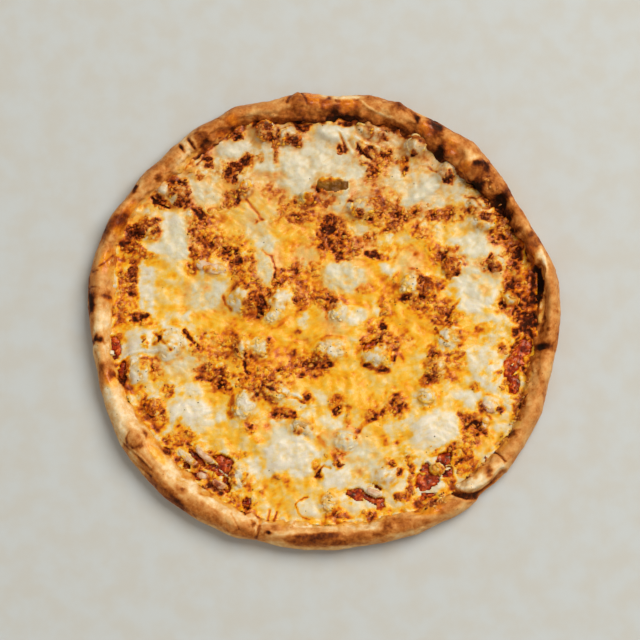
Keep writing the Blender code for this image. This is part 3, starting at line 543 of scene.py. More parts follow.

# Thin lines on the cheese, baked ones and painted shade along grooves: width in pixels, change of browning,
# height in millimetres, then the places
cheeseStrokes = [
    (4.6, 0.24, -0.4, [(384, 411), (374, 419), (363, 425), (357, 433), (354, 438)]),
    (4.4, 0.16, -0.2, [(318, 438), (327, 449), (334, 457), (339, 465)]),
    (1.8, 0.42, -0.3, [(296, 504), (301, 500), (308, 497)]),
    (1.8, 0.42, -0.3, [(296, 505), (298, 512), (303, 517), (309, 519)]),
    (2.0, 0.42, -0.3, [(270, 510), (268, 520)]),
    (2.0, 0.42, -0.3, [(277, 511), (275, 521)]),
    (3.0, 0.30, -0.5, [(246, 200), (255, 210), (263, 220)]),
    (2.0, 0.34, -0.5, [(262, 250), (272, 258), (275, 270), (275, 278)]),
    (3.0, 0.34, -0.5, [(154, 333), (163, 343), (172, 352)]),
    (2.8, 0.30, -0.5, [(222, 296), (226, 304), (231, 311)]),
    (3.4, 0.36, -0.5, [(184, 331), (190, 339), (196, 345)]),
    (2.6, -0.10, 0.9, [(118, 363), (128, 355), (142, 352), (161, 352)]),
    (3.0, 0.24, -0.4, [(460, 300), (452, 310), (446, 322)]),
    (2.2, 0.40, -0.4, [(436, 330), (441, 338), (447, 343)]),
    (2.6, 0.36, -0.6, [(340, 133), (344, 142), (346, 152)]),
    (2.6, -0.12, 0.8, [(338, 128), (346, 138), (352, 152)]),
    (2.4, -0.10, 0.8, [(356, 136), (366, 142), (378, 146), (388, 152)]),
    (2.2, 0.45, -0.6, [(357, 142), (362, 152), (372, 158)]),
    (2.4, 0.45, -0.6, [(316, 478), (320, 470), (324, 466), (330, 468)]),
    (2.0, 0.40, -0.4, [(262, 386), (272, 390), (284, 396), (296, 399), (304, 404)]),
    (2.4, -0.16, 0.7, [(266, 384), (278, 388), (290, 393), (302, 398)]),
    (2.2, 0.35, -0.4, [(236, 352), (244, 362), (246, 372)]),
    (2.0, 0.40, -0.5, [(428, 166), (438, 172), (446, 182), (453, 176)]),
    (2.2, 0.40, -0.5, [(466, 196), (474, 199), (484, 210), (494, 206)]),
    (1.8, 0.40, -0.4, [(196, 164), (203, 158), (210, 158)]),
    (2.0, 0.45, -0.5, [(150, 196), (160, 204), (168, 208)]),
]

# Where the melted cheese has a green tint
oliveZones = [
    (315, 165, 60, 34), (345, 190, 40, 24), (425, 195, 34, 20, 30), (345, 277, 24, 16),
    (268, 262, 14, 22), (205, 295, 22, 16), (305, 255, 12, 10), (345, 440, 26, 14), (280, 430, 16, 10),
    (480, 265, 26, 34), (175, 240, 20, 22), (410, 262, 14, 12), (225, 150, 20, 14), (200, 195, 26, 14),
    (255, 225, 14, 14), (335, 320, 12, 14), (180, 365, 22, 12), (385, 135, 20, 12, -30),
    (365, 240, 12, 10), (360, 460, 20, 14),
]

# Where the cheese is open and the sauce shows
sauceOpenings = [
    (113, 349, 8, 13, -12), (121, 372, 4, 10, -15), (166, 452, 5, 5), (194, 471, 12, 8, -35),
    (222, 465, 14, 11, -25), (228, 482, 5, 9), (365, 498, 20, 9, -15), (427, 481, 12, 18, -8),
    (445, 459, 10, 7, 30), (446, 471, 6, 7), (514, 366, 10, 17, -15), (525, 347, 8, 8), (514, 385, 6, 9),
    (371, 346, 9, 4, 35), (247, 503, 4, 5), (376, 487, 7, 2.5, -25), (197, 457, 11, 3, -42),
]
openingCovers = [  # cheese and pieces that lie across those openings again
    (188, 459, 12, 3, -42), (206, 456, 12, 3, -42), (237, 478, 8, 12), (372, 491, 11, 5, -25),
    (361, 506, 10, 6), (433, 468, 4, 5), (220, 483, 10, 3, -30), (503, 355, 6, 3, 20), (522, 372, 4, 7),
]


cheeseBase = {
    "browning": 0.15,
    "crumbly": 0.22,
    "goldenMiddle": (335, 305, 115, 105),  # the cheese is browner in this oval
    "goldenBy": 0.19,
    "goldenSoft": 45.0,
    "broadPatches": 0.12,
    "crumbContrast": 0.28,
    "mottle": 0.09,
    "strands": 0.08,
    "bubbles": 0.16,
}


def cheeseBaking(points):
    # browning of the cheese at these points, painted shadow included, and how crumbly it is, with edges that
    # wander
    pixels = toPixels(points)
    flat = points * (1.0, 1.0, 0.0)
    pixels = pixels + 1.6 * np.stack((layeredNoise(flat, 5.0, 14, 2), layeredNoise(flat, 5.0, 15, 2)), axis=1)
    ragged = 3.6 * layeredNoise(flat, 7.0, 11, 4, 0.6) + 1.8 * drawnNoise(flat, 4.5, 2.6, 12)
    middle = ovalCover(pixels, cheeseBase["goldenMiddle"], ragged, cheeseBase["goldenSoft"])
    level = cheeseBase["browning"] + cheeseBase["goldenBy"] * middle
    level = level + cheeseBase["broadPatches"] * layeredNoise(flat, 14.0, 13, 2)
    crumbly = np.full(len(points), cheeseBase["crumbly"])
    for value, crumbs, soft, strength, ovals in cheeseZones.values():
        for oval in ovals:
            cover = strength * ovalCover(pixels, oval, ragged, soft)
            level = mixed(level, value, cover)
            crumbly = mixed(crumbly, crumbs, cover)
    for width, change, _, stroke in cheeseStrokes:
        level = level + change * strokeCover(pixels, stroke, width, 2.2)
    return level, crumbly


def crumbField(points):
    # heights of the crumbs of toasted cheese, from 0 in the gaps to 1 on top
    flat = points * (1.0, 1.0, 0.0)
    bend = np.stack((softNoise(flat, 3.4, 92), softNoise(flat, 3.4, 90), np.zeros(len(flat))), axis=1)
    bent = flat + 1.6 * bend
    nearest = cellNoise(bent, 3.0, 93)
    ridges = 1.0 - 2.0 * np.abs(drawnNoise(bent, 2.6, 2.0, 94))
    return np.clip(0.72 - 0.45 * nearest + 0.34 * ridges + 0.34 * layeredNoise(flat, 5.0, 95, 3), 0.0, 1.0)


def crumbledBaking(points):
    # browning with the crumbs in it: the gaps are dark and the tops golden, toasting with painted shade in
    # the gaps
    level, crumbly = cheeseBaking(points)
    flat = points * (1.0, 1.0, 0.0)
    crumbs = crumbField(points)
    contrast = cheeseBase["crumbContrast"]
    level = level + crumbly * (contrast * layeredNoise(flat, 5.2, 101, 3, 0.6) - contrast * (crumbs - 0.5))
    uneven = mixed(0.55, 1.0, ease(0.12, 0.4, crumbly))  # melted places are smoother
    mottle = cheeseBase["mottle"] * layeredNoise(flat, 9.0, 104, 3, 0.6)
    level = level + uneven * (mottle + cheeseBase["strands"] * drawnNoise(flat, 3.4, 3.0, 105))
    bubbles = ease(0.05, 0.5, layeredNoise(flat, 5.5, 120, 3, 0.6))
    level = level + uneven * cheeseBase["bubbles"] * (1.0 - crumbly) * bubbles
    return np.clip(level, 0.0, 1.0), crumbly, crumbs


def openingAt(points, soft=2.6):
    pixels = toPixels(points)
    flat = points * (1.0, 1.0, 0.0)
    ragged = 2.8 * layeredNoise(flat, 5.0, 31, 3) + 2.4 * softNoise(flat, 2.4, 32)
    cover = np.zeros(len(points))
    for oval in sauceOpenings:
        cover = np.maximum(cover, ovalCover(pixels, oval, ragged, soft))
    for oval in openingCovers:
        cover = np.minimum(cover, 1.0 - ovalCover(pixels, oval, 0.5 * ragged, 1.5))
    # strands of cheese that cross the openings
    return cover * ease(0.34, 0.12, drawnNoise(flat, 4.2, 3.0, 34))


cheeseLook = {
    "yellow": [
        (0.00, "E4DBC6"), (0.09, "E1D2AC"), (0.18, "E8CB8A"), (0.28, "EEBD42"), (0.39, "F2AB0E"),
        (0.50, "E58402"), (0.60, "CA5F02"), (0.70, "A24103"), (0.82, "6C2304"), (1.00, "340D02"),
    ],
    "tan": [
        (0.00, "E2D2B6"), (0.09, "DEC69E"), (0.18, "DAB37E"), (0.28, "D69C58"), (0.39, "CE8B42"),
        (0.50, "B97030"), (0.60, "9C5122"), (0.70, "7A3714"), (0.82, "581F0A"), (1.00, "2E0B03"),
    ],
    "oliveTint": "F2F3E8",
    "oliveSaturation": 0.86,
    "tanOnCheese": 0.22,
    "tanOnPieces": 0.8,
    "patchesPerMetre": 120.0,
    "finePerMetre": 1300.0,
    "grainPerMetre": 560.0,
    "grainStrength": (0.10, 0.42),  # on melted and on toasted cheese
    "crumbRelief": (0.3, 1.2),
    "roughness": 0.33,
    "burntFrom": (0.66, 0.84),
    "specular": 0.22,
    "glossTint": "FFD9B0",
    "coat": 0.17,
    "coatOnPieces": 0.4,  # as a part of the coat on the cheese
    "coatRoughness": 0.16,
    "subsurface": 0.10,
    "softDepth": 0.0016,
    "bump": 0.55,
    "bumpDepth": 0.0012,
    "speckColour": "3A2410",
}


def bakedMaterial(name, look, own=None):
    # cheese and what is melted into it: colour by browning, with the piece's own colour where it is bare
    material, tree, shader, place = newMaterial(name)
    browning = readMask(tree, "browning")
    crumbly = readMask(tree, "crumbly")
    grain = useGroup(tree, bakedGrain, {
        "Place": place, "Browning": browning, "Grain Size": look["grainPerMetre"],
        "Strength": addRange(tree, crumbly, 0.1, 1.0, *look["grainStrength"])})
    yellow = addRamp(tree, grain.outputs["Browning"], look["yellow"])
    tan = addRamp(tree, grain.outputs["Browning"], look["tan"])
    broad = addNoise(tree, place, look["patchesPerMetre"], 3.0, 0.6)
    share = addRange(tree, broad, 0.48, 0.72, 0.0, look["tanOnPieces" if own else "tanOnCheese"])
    if own:
        colour = addMix(tree, share, yellow, tan)
        mottle = addNoise(tree, place, own["mottlePerMetre"], 4.0, 0.6)
        colour = addMix(tree, readMask(tree, "bare"), colour, addRamp(tree, mottle, own["colours"]))
        colour = addSpecks(tree, place, own, colour, look["speckColour"])
    else:
        # the tan mask from the mesh carries painted shade and painted highlights as well as tone
        share = addMath(tree, "MULTIPLY_ADD", readMask(tree, "tan"), 0.85, share, clamp=True)
        colour = addMix(tree, share, yellow, tan)
        tinted = addMix(tree, 1.0, colour, paint(look["oliveTint"]), "MULTIPLY")
        duller = {"Color": tinted, "Saturation": look["oliveSaturation"]}
        tinted = addNode(tree, "ShaderNodeHueSaturation", duller).outputs[0]
        colour = addMix(tree, readMask(tree, "olive"), colour, tinted)
    fine = addNoise(tree, place, look["finePerMetre"], 3.0, 0.6)
    relief = addRange(tree, crumbly, 0.1, 1.0, *look["crumbRelief"])
    crumbs = addMath(tree, "MULTIPLY", grain.outputs["Height"], relief)
    height = addMath(tree, "MULTIPLY_ADD", fine, 0.25, crumbs)
    gloss = addRange(tree, fine, 0.3, 0.7, look["roughness"] - 0.12, look["roughness"] + 0.14)
    burnt = addRange(tree, browning, *look["burntFrom"])
    coat = look["coat"] * (look["coatOnPieces"] if own else 1.0)
    feed(tree, shader, {
        "Base Color": colour,
        "Normal": addBump(tree, height, look),
        "Roughness": addMath(tree, "MULTIPLY_ADD", burnt, 0.35, gloss),
        "Coat Weight": addMath(tree, "MULTIPLY_ADD", burnt, -coat, coat),
        "Coat Roughness": look["coatRoughness"],
        "Specular IOR Level": look["specular"],
        "Specular Tint": paint(look["glossTint"]),
        "Subsurface Weight": look["subsurface"],
        "Subsurface Radius": (1.0, 0.55, 0.25),
        "Subsurface Scale": look["softDepth"],
    })
    return material


sauceLook = {
    "colours": [(0.33, "380602"), (0.42, "721205"), (0.51, "A62A06"), (0.60, "D05A10"), (0.74, "EE9E4C")],
    "lumpsPerMetre": 210.0,
    "roughness": 0.28,
    "glossTint": "FFC48A",
    "coat": 0.22,
    "coatRoughness": 0.12,
    "bump": 0.5,
    "bumpDepth": 0.0012,
    "specksPerMetre": 420.0,
    "speckShare": 0.2,
    "speckColour": "2C0803",
}


def sauceMaterial():
    material, tree, shader, place = newMaterial("tomatoSauce")
    lumps = addNoise(tree, place, sauceLook["lumpsPerMetre"], 5.0, 0.65, 0.4)
    colour = addRamp(tree, lumps, sauceLook["colours"])
    feed(tree, shader, {
        "Base Color": addSpecks(tree, place, sauceLook, colour, sauceLook["speckColour"]),
        "Normal": addBump(tree, lumps, sauceLook),
        "Roughness": addRange(tree, lumps, 0.3, 0.7, sauceLook["roughness"], sauceLook["roughness"] + 0.2),
        "Coat Weight": sauceLook["coat"],
        "Coat Roughness": sauceLook["coatRoughness"],
        "Specular Tint": paint(sauceLook["glossTint"]),
    })
    return material


crustLook = {
    "colours": [
        (0.00, "F6E5C4"), (0.12, "F0CF9A"), (0.28, "E2AC67"), (0.42, "D28E49"), (0.55, "B96C2A"),
        (0.68, "904712"), (0.80, "5C2307"), (0.90, "321004"), (1.00, "150603"),
    ],
    "oily": [
        (0.00, "F3C65C"), (0.15, "F0AE34"), (0.35, "E88E16"), (0.50, "CC6A0C"), (0.65, "9C4208"),
        (0.80, "642206"), (0.90, "341005"), (1.00, "180603"),
    ],
    "patchesPerMetre": 150.0,
    "patchStrength": 0.6,
    "spiltTan": 0.6,  # how tan the cheese on the crust is
    "finePerMetre": 1300.0,
    "grainPerMetre": 420.0,
    "grainStrength": 0.34,
    "charredFrom": (0.72, 0.9),
    "specksPerMetre": 330.0,
    "speckShare": 0.2,
    "speckColour": "6E3416",
    "speckStrength": 0.5,
    "roughness": 0.55,
    "specular": 0.25,
    "glossTint": "FFD9B0",
    "oilCoat": 0.3,
    "coatRoughness": 0.25,
    "subsurface": 0.06,
    "softDepth": 0.002,
    "bump": 0.22,
    "bumpDepth": 0.0010,
    "topBrowning": 0.37,
    "sideBrowning": 0.38,
    "baseBrowning": 0.42,
    "brownestBy": 0.14,
    "blotches": 0.16,
    "footBrowning": (0.04, 0.20),  # painted shade at the foot of the inner wall, and what more is painted on the side in shade
    "brownestSide": 55.0,  # degrees anticlockwise from the right of the picture
    "shadedSide": 68.0,
    "around": 960,
    "across": 78,
    "castFrom": 200.0,
    "swell": 0.5,
    "pores": 0.07,
    "creaseDepth": 0.4,
    "blisterHeight": 0.35,
    "knobHeight": 0.9,
    "wallLumps": (1.4, 1.1),  # on the inner wall, and what shade adds there
    "coreHeight": 8.0,
    "footHeight": 4.0,
    "sectionStart": 206.0,  # from the foot of the wall, over the crest, to straight under the core
    "sectionEnd": -90.0,
}


def crustMaterial():
    material, tree, shader, place = newMaterial("bakedCrust")
    browning = readMask(tree, "browning")
    oil = readMask(tree, "oil")
    grain = useGroup(tree, bakedGrain, {
        "Place": place, "Browning": browning, "Grain Size": crustLook["grainPerMetre"],
        "Strength": crustLook["grainStrength"]})
    baked = grain.outputs["Browning"]
    patches = addNoise(tree, place, crustLook["patchesPerMetre"], 5.0, 0.65)
    centred = addMath(tree, "SUBTRACT", patches, 0.5)
    shifted = addMath(tree, "MULTIPLY_ADD", centred, crustLook["patchStrength"], baked)
    colour = addRamp(tree, shifted, crustLook["colours"])
    colour = addMix(tree, oil, colour, addRamp(tree, shifted, crustLook["oily"]))
    ramps = [addRamp(tree, baked, cheeseLook[ramp]) for ramp in ("yellow", "tan")]
    spilt = addMix(tree, crustLook["spiltTan"], *ramps)
    colour = addMix(tree, readMask(tree, "cheesy"), colour, spilt)
    colour = addSpecks(tree, place, crustLook, colour, crustLook["speckColour"], crustLook["speckStrength"])
    fine = addNoise(tree, place, crustLook["finePerMetre"], 4.0, 0.65)
    height = addMath(tree, "MULTIPLY_ADD", fine, 0.35, grain.outputs["Height"])
    low, high = crustLook["roughness"] - 0.1, crustLook["roughness"] + 0.1
    rough = addMath(tree, "MULTIPLY_ADD", oil, -0.3, addRange(tree, fine, 0.3, 0.7, low, high))
    charred = addRange(tree, browning, *crustLook["charredFrom"])
    wet = addMath(tree, "MULTIPLY", oil, addMath(tree, "SUBTRACT", 1.0, charred))
    feed(tree, shader, {
        "Base Color": colour,
        "Normal": addBump(tree, height, crustLook),
        "Roughness": addMath(tree, "MULTIPLY_ADD", charred, 0.35, rough),
        "Coat Weight": addMath(tree, "MULTIPLY", wet, crustLook["oilCoat"]),
        "Coat Roughness": crustLook["coatRoughness"],
        "Specular IOR Level": crustLook["specular"],
        "Specular Tint": paint(crustLook["glossTint"]),
        "Subsurface Weight": crustLook["subsurface"],
        "Subsurface Radius": (1.0, 0.5, 0.2),
        "Subsurface Scale": crustLook["softDepth"],
    })
    return material


# Ovals on the picture as for the cheese, laid on in this order.
# Each zone starts with its browning, the softness of its edge in pixels, its strength and its raggedness.
crustZones = {
    "tan": (0.42, 5.0, 0.7, 1.0, [
        (535, 420, 12, 34, 16), (490, 155, 10, 12), (516, 205, 8, 14, -25), (440, 140, 14, 12),
        (470, 148, 16, 8, -40), (150, 186, 9, 9), (250, 112, 16, 10, 15), (270, 108, 16, 9, 10),
        (148, 462, 14, 8, -45), (552, 300, 5, 50), (110, 283, 10, 16), (525, 226, 6, 14, -25),
        (515, 455, 14, 10, 50), (545, 395, 5, 30, 10), (440, 510, 20, 6, 25), (470, 500, 20, 5, 35),
        (100, 270, 8, 20), (385, 118, 16, 5, -20), (125, 196, 6, 7), (500, 450, 12, 8, 50),
    ]),
    # pale dough, and painted light on the lit inner slope at the lower left and bottom
    "pale": (0.10, 4.0, 0.9, 1.0, [
        (122, 400, 15, 24, 20), (145, 425, 12, 18, 35), (112, 318, 8, 14), (188, 150, 8, 11),
        (178, 170, 5, 10, -20), (185, 478, 34, 9, -38), (225, 505, 26, 8, -32), (260, 520, 20, 7, -15),
        (305, 521, 32, 6), (362, 524, 22, 7), (472, 159, 7, 7), (541, 262, 3, 13, 5), (543, 275, 2.5, 10),
        (542, 303, 2.5, 13), (300, 524, 46, 4), (372, 521, 22, 4, 8), (462, 487, 15, 6, 10),
        (477, 481, 9, 7, 30), (120, 270, 7, 9), (425, 113, 9, 4, -15), (340, 96, 22, 4, -2),
        (235, 118, 4, 4), (108, 345, 4, 12, -10), (498, 470, 8, 5, 40), (102, 322, 6, 12),
        (148, 428, 10, 14, 35), (250, 112, 9, 5, 15), (163, 462, 14, 4, -46), (196, 489, 15, 5, -38),
    ]),
    # brown dough, with painted shade on the top inner wall and beside the right wall
    "brown": (0.57, 4.0, 0.7, 1.5, [
        (118, 222, 16, 9, 40), (150, 172, 9, 5, 30), (158, 170, 6, 5), (168, 160, 10, 5, 25),
        (208, 133, 15, 8, 25), (217, 129, 8, 8), (230, 122, 9, 7), (237, 115, 8, 5), (247, 110, 8, 5),
        (297, 104, 9, 12), (300, 118, 24, 9), (258, 108, 3, 3), (375, 119, 20, 7, -20), (390, 131, 12, 7),
        (397, 107, 9, 7), (350, 113, 14, 10), (412, 131, 12, 8), (432, 132, 12, 7), (436, 148, 11, 10),
        (462, 161, 8, 8), (482, 150, 4, 12, -55), (480, 176, 12, 6), (498, 186, 11, 12), (510, 206, 7, 9),
        (500, 214, 9, 9), (519, 218, 6, 10), (530, 248, 11, 9), (545, 400, 3, 40, 14),
        (505, 440, 13, 6, 20), (545, 348, 11, 7), (535, 335, 9, 16), (526, 360, 8, 14),
        (410, 524, 20, 4, 8), (445, 505, 9, 6), (335, 539, 58, 6.5), (250, 530, 12, 7),
        (163, 490, 26, 8, -45), (205, 512, 24, 7, -30), (134, 441, 9, 9), (92, 285, 6, 22),
        (104, 296, 12, 5, -10), (108, 372, 9, 12), (100, 386, 4, 14, -10), (90, 320, 4, 30),
        (120, 455, 5, 24, -50), (275, 528, 18, 4), (390, 525, 14, 8), (104, 236, 6, 14, -35),
        (330, 99, 3, 5), (140, 172, 3, 8, -30), (115, 250, 12, 8), (467, 146, 9, 4, -40),
        (480, 505, 4, 24, -50), (475, 472, 4, 2), (474, 478, 2, 2), (543, 359, 4, 3),
        (455, 503, 8, 3, 30), (442, 512, 4, 3),
    ]),
    # painted shade on the outer side of the lower rim, turned from the light, over its baked brown
    "band": (0.58, 6.0, 0.9, 1.5, [
        (172, 497, 30, 6, -42), (205, 516, 26, 5, -28), (245, 533, 24, 5, -14), (312, 539, 40, 4),
        (365, 536, 30, 4, 8), (410, 527, 26, 4, 16), (150, 470, 20, 5, -52),
    ]),
    # soft dark brown, with painted shade along the outer side of the lower rim and on the upper right wall
    "deep": (0.71, 6.0, 0.8, 2.4, [
        (479, 174, 11, 9), (318, 543, 36, 4), (297, 107, 6, 10), (530, 248, 8, 7), (170, 497, 24, 4, -42),
        (182, 491, 8, 4, -40), (452, 155, 6, 6), (432, 137, 8, 5),
    ]),
    # dark baked spots, and painted shadow in the gaps between the rim and the cheese
    "dark": (0.81, 4.6, 0.85, 2.8, [
        (116, 223, 12, 5, 35), (106, 232, 5, 7, -30), (157, 179, 3, 3), (181, 149, 5, 2, -50),
        (191, 145, 7, 2.2, -62), (200, 136, 6, 4), (203, 143, 5, 5), (198, 157, 8, 2.5, 10),
        (236, 133, 6, 5), (303, 126, 6, 4), (345, 119, 14, 5), (334, 113, 5, 8), (400, 107, 5, 6),
        (417, 121, 3, 4), (441, 133, 3, 4), (441, 151, 4, 7), (512, 192, 5, 10, -50), (511, 217, 3, 3),
        (518, 232, 3, 3), (532, 237, 4, 2.5), (500, 205, 7, 9), (508, 434, 11, 4, 10),
        (488, 471, 3.5, 6, -10), (543, 348, 6.5, 4, 12), (548, 331, 2, 1.5), (388, 528, 4.5, 4),
        (255, 524, 2, 2), (270, 533, 3, 2), (140, 448, 6, 3), (147, 435, 4.5, 3, -40), (98.5, 341, 6, 4),
        (92, 303, 4, 12), (106, 298, 7, 2, -12), (103, 369, 2.5, 5), (87, 283, 2, 14),
        (180, 504, 14, 3, -40), (534, 322, 3, 12), (318, 537, 26, 3.5, 2), (329, 98, 1.6, 4),
        (376, 535, 3, 2), (514, 255, 5, 14), (113, 376, 4, 5), (184, 490, 3, 2), (205, 107, 2, 1),
    ]),
    # charred spots, and painted shadow in the hole under the torn lip on the right
    "char": (0.96, 4.4, 0.9, 3.4, [
        (303, 127, 6, 4), (342, 120, 12, 5), (388, 133, 10, 3, -25), (500, 214, 6, 6), (98, 342, 5, 3),
        (440, 155, 3, 4), (134, 190, 2.5, 4.5, -20), (417, 121, 2.5, 4), (437, 127, 9, 5, -38),
        (479, 167, 5, 3), (488, 168, 3, 6, -20), (478, 186, 8, 4.5), (503, 203, 5, 6), (519, 254, 6, 11),
        (540, 281, 5, 15, 4), (537, 300, 2.5, 6), (543, 348, 5, 2.5, 15), (91, 305, 2.5, 8),
        (270, 533, 2, 1.2), (98, 342, 3, 2),
    ]),
}

# Where the dough is soaked with oil
oilyPlaces = [
    (119, 228, 8, 11), (133, 208, 5, 5), (313, 98, 9, 8, -40), (325, 105, 7, 5), (348, 106, 11, 6),
    (344, 113, 4, 3), (430, 130, 12, 7), (450, 150, 9, 8), (465, 170, 7, 6), (108, 262, 8, 14, -30),
    (115, 300, 10, 6), (120, 322, 10, 12), (112, 380, 8, 10), (130, 395, 8, 7), (338, 519, 12, 8),
    (425, 508, 18, 9), (232, 122, 7, 6), (515, 300, 9, 14), (515, 275, 8, 8), (530, 262, 6, 14),
    (500, 237, 8, 7), (224, 135, 8, 5), (225, 495, 16, 4, -25), (160, 440, 12, 6), (130, 214, 8, 6),
    (210, 150, 9, 5), (158, 456, 14, 5, -46),
]

# Where cheese lies on the crust: an oval as above and the share of crumbs
cheeseSpills = [
    (479, 462, 26, 8, 48, 1.0), (508, 429, 24, 9, 60, 1.0), (521, 394, 24, 6, 80, 1.0),
    (300, 521, 40, 5, 0, 0.0), (365, 518, 30, 6, 8, 0.0), (160, 440, 22, 6, -48, 0.5),
    (149, 424, 13, 6, -55, 0.0), (120, 318, 8, 26, 0, 0.3), (116, 262, 8, 20, -8, 0.3),
    (438, 500, 14, 7, 25, 1.0), (225, 498, 24, 5, -28, 0.4), (492, 192, 13, 5, -55, 0.6),
    (441, 160, 11, 4, -38, 1.0), (476, 191, 14, 4, -40, 1.0), (506, 226, 12, 5, -60, 0.6),
    (516, 245, 12, 5, -70, 0.8), (378, 126, 12, 4, -15, 0.8),
]

# Grooves and ridges: width in pixels, height in millimetres, change of browning (painted shade in grooves and
# painted light on ridges, over baked marks), then the places
crustStrokes = {
    # painted shadow under the flap
    "flap undercut": (7.0, -2.6, 0.50, [
        (450, 489), (457, 494), (465, 497), (474, 496), (482, 492), (489, 487), (496, 480), (502, 473)]),
    "flap lip": (3.0, 0.9, -0.12, [(453, 484), (462, 489), (472, 489), (482, 485), (490, 479)]),
    "crack": (2.2, -0.9, 0.5, [(491, 452), (496, 454), (501, 459), (504, 463)]),
    "crease a": (2.6, -0.9, 0.3, [(187, 139), (190, 145), (194, 149)]),
    "crease b": (2.6, -0.8, 0.3, [(179, 145), (182, 151), (184, 153)]),
    "blister arc a": (2.4, -0.8, 0.28, [(287, 104), (288, 99), (291, 95), (296, 92)]),
    "blister arc b": (2.4, -0.8, 0.28, [(299, 91), (303, 95), (306, 100), (307, 105)]),
    "layer line a": (1.5, -0.5, 0.18, [(121, 440), (129, 449), (138, 457), (146, 465), (154, 473)]),
    "layer line b": (1.5, -0.5, 0.2, [(118, 443), (126, 453), (136, 463), (146, 472), (152, 477)]),
    "layer ridge": (1.5, 0.5, -0.2, [(123, 441), (133, 451), (143, 459), (152, 469)]),
    "pale ridge": (2.2, 0.7, -0.25, [(361, 101), (368, 108), (378, 114), (392, 119)]),
    "seam": (2.4, -1.0, 0.25, [(262, 518), (260, 526), (258, 533), (256, 541)]),
    "seam lip": (2.0, 0.5, -0.25, [(258, 520), (256, 528), (257, 535)]),
    "bottom crease": (1.6, -0.5, 0.2, [(232, 514), (236, 522), (240, 530)]),
    "torn lip": (3.0, 1.0, -0.15, [
        (540, 249), (544, 260), (547, 272), (546, 285), (543, 297), (541, 310), (540, 322)]),
    "left cracks": (1.4, -0.4, 0.25, [(88, 268), (93, 273), (98, 272)]),
    "left crack b": (1.4, -0.4, 0.25, [(86, 290), (92, 288), (99, 290)]),
    "left crack c": (1.4, -0.4, 0.2, [(95, 352), (99, 362), (97, 372)]),
    "bump ring": (1.8, -0.5, 0.25, [(130, 434), (127, 440), (128, 446), (133, 450)]),
    "brown stroke a": (1.8, -0.2, 0.35, [(270, 508), (268, 516)]),
    "brown stroke b": (1.8, -0.2, 0.4, [(277, 510), (275, 519)]),
    "brown stroke c": (1.5, -0.2, 0.3, [(296, 520), (291, 528)]),
    "left streak": (2.0, -0.3, 0.3, [(112, 257), (105, 264), (99, 268)]),
}

# Lumps and dents of the dough: an oval as above and its height in millimetres
crustDents = [
    (467, 167, 7, 6, 0, 1.2), (478, 168, 6, 5, 0, 1.0), (455, 142, 8, 6, 0, 0.9),
    (478, 187, 8, 4, 0, -1.4), (503, 203, 5, 6, 0, -1.8), (519, 254, 6, 12, 0, -2.4),
    (540, 281, 5, 16, 0, -2.2), (537, 302, 3, 8, 0, -1.2), (543, 348, 6, 3, 12, -1.8),
    (134, 441, 8, 8, 0, 1.0), (441, 151, 4, 7, 0, -1.4), (348, 118, 12, 5, 0, -1.0),
    (297, 97, 5, 7, 0, 0.8), (397, 107, 7, 5, 0, 0.8), (488, 471, 3, 5, 0, -0.6),
    (203, 141, 5, 6, 0, -0.5),
]

# Small knobs stand close together in this oval
knobblyPlace = (500, 187, 12, 14)

# Where the outline lies beyond the solid's: direction and half width in degrees, millimetres outwards
outlineNudges = [
    (22, 5, -2.0), (35, 4, -1.2), (55, 3.5, -2.2), (77, 5, 1.7), (100, 3, -1.2), (111, 3.5, 2.0),
    (120, 2.5, -1.3), (126, 3.5, 1.2), (152, 6, -1.6), (162, 2.5, -1.4), (188, 4, -0.8), (217, 6, -1.1),
    (232, 5, 1.0), (244, 3, -1.0), (255, 2.5, -2.4), (270, 14, -0.6), (299, 3.5, -1.2), (318, 10, 1.7),
    (10, 3, 0.8),
]

# Where the inner wall leans further in than the solid's, in the same way
wallNudges = [(50, 9, 4.0), (38, 5, 2.5), (95, 7, 1.5), (140, 8, 1.5), (345, 8, 1.5)]


def nudgeAt(degrees, nudges):
    total = np.zeros(len(degrees))
    for middle, halfWidth, push in nudges:
        away = (degrees - middle + 180.0) % 360.0 - 180.0
        total += push * np.exp(-0.5 * (away / halfWidth) ** 2)
    return total


def castRim():
    # the distance from a ring of core points inside the rim to the solid's surface, in every direction
    surface = surfaceOf(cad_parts["crust"])
    around = crustLook["around"]
    turns = np.arange(around) * 2 * math.pi / around
    outer = np.zeros(around)
    inner = np.zeros(around)
    middle = Vector((0, 0, crustLook["coreHeight"]))
    for i, turn in enumerate(turns):
        way = Vector((math.cos(turn), math.sin(turn), 0.0))
        side = surface.ray_cast(middle + way * crustLook["castFrom"], -way)[0]
        wall = surface.ray_cast(middle, way)[0]
        outer[i] = math.hypot(side.x, side.y)
        inner[i] = math.hypot(wall.x, wall.y)
    core = blurRing((outer + inner) / 2, 10)
    angles = np.radians(np.linspace(crustLook["sectionStart"], crustLook["sectionEnd"], crustLook["across"]))
    reach = np.zeros((around, len(angles)))
    for i, turn in enumerate(turns):
        start = Vector((core[i] * math.cos(turn), core[i] * math.sin(turn), crustLook["coreHeight"]))
        for j, angle in enumerate(angles):
            out = math.cos(angle)
            way = Vector((out * math.cos(turn), out * math.sin(turn), math.sin(angle)))
            reach[i, j] = (surface.ray_cast(start, way)[0] - start).length
    return turns, angles, core, reach, inner


def blurRing(values, cells):
    # soft blur along the first axis, which closes on itself
    count = values.shape[0]
    falloff = np.exp(-2 * (math.pi * cells * np.fft.rfftfreq(count)) ** 2)
    falloff = falloff.reshape((-1,) + (1,) * (values.ndim - 1))
    return np.fft.irfft(np.fft.rfft(values, axis=0) * falloff, count, axis=0)


def blurRows(values, weights):
    # blur along the second axis with this small kernel
    half = len(weights) // 2
    padded = np.pad(values, ((0, 0), (half, half)), mode="edge")
    return sum(w * padded[:, i:i + values.shape[1]] for i, w in enumerate(weights)) / sum(weights)


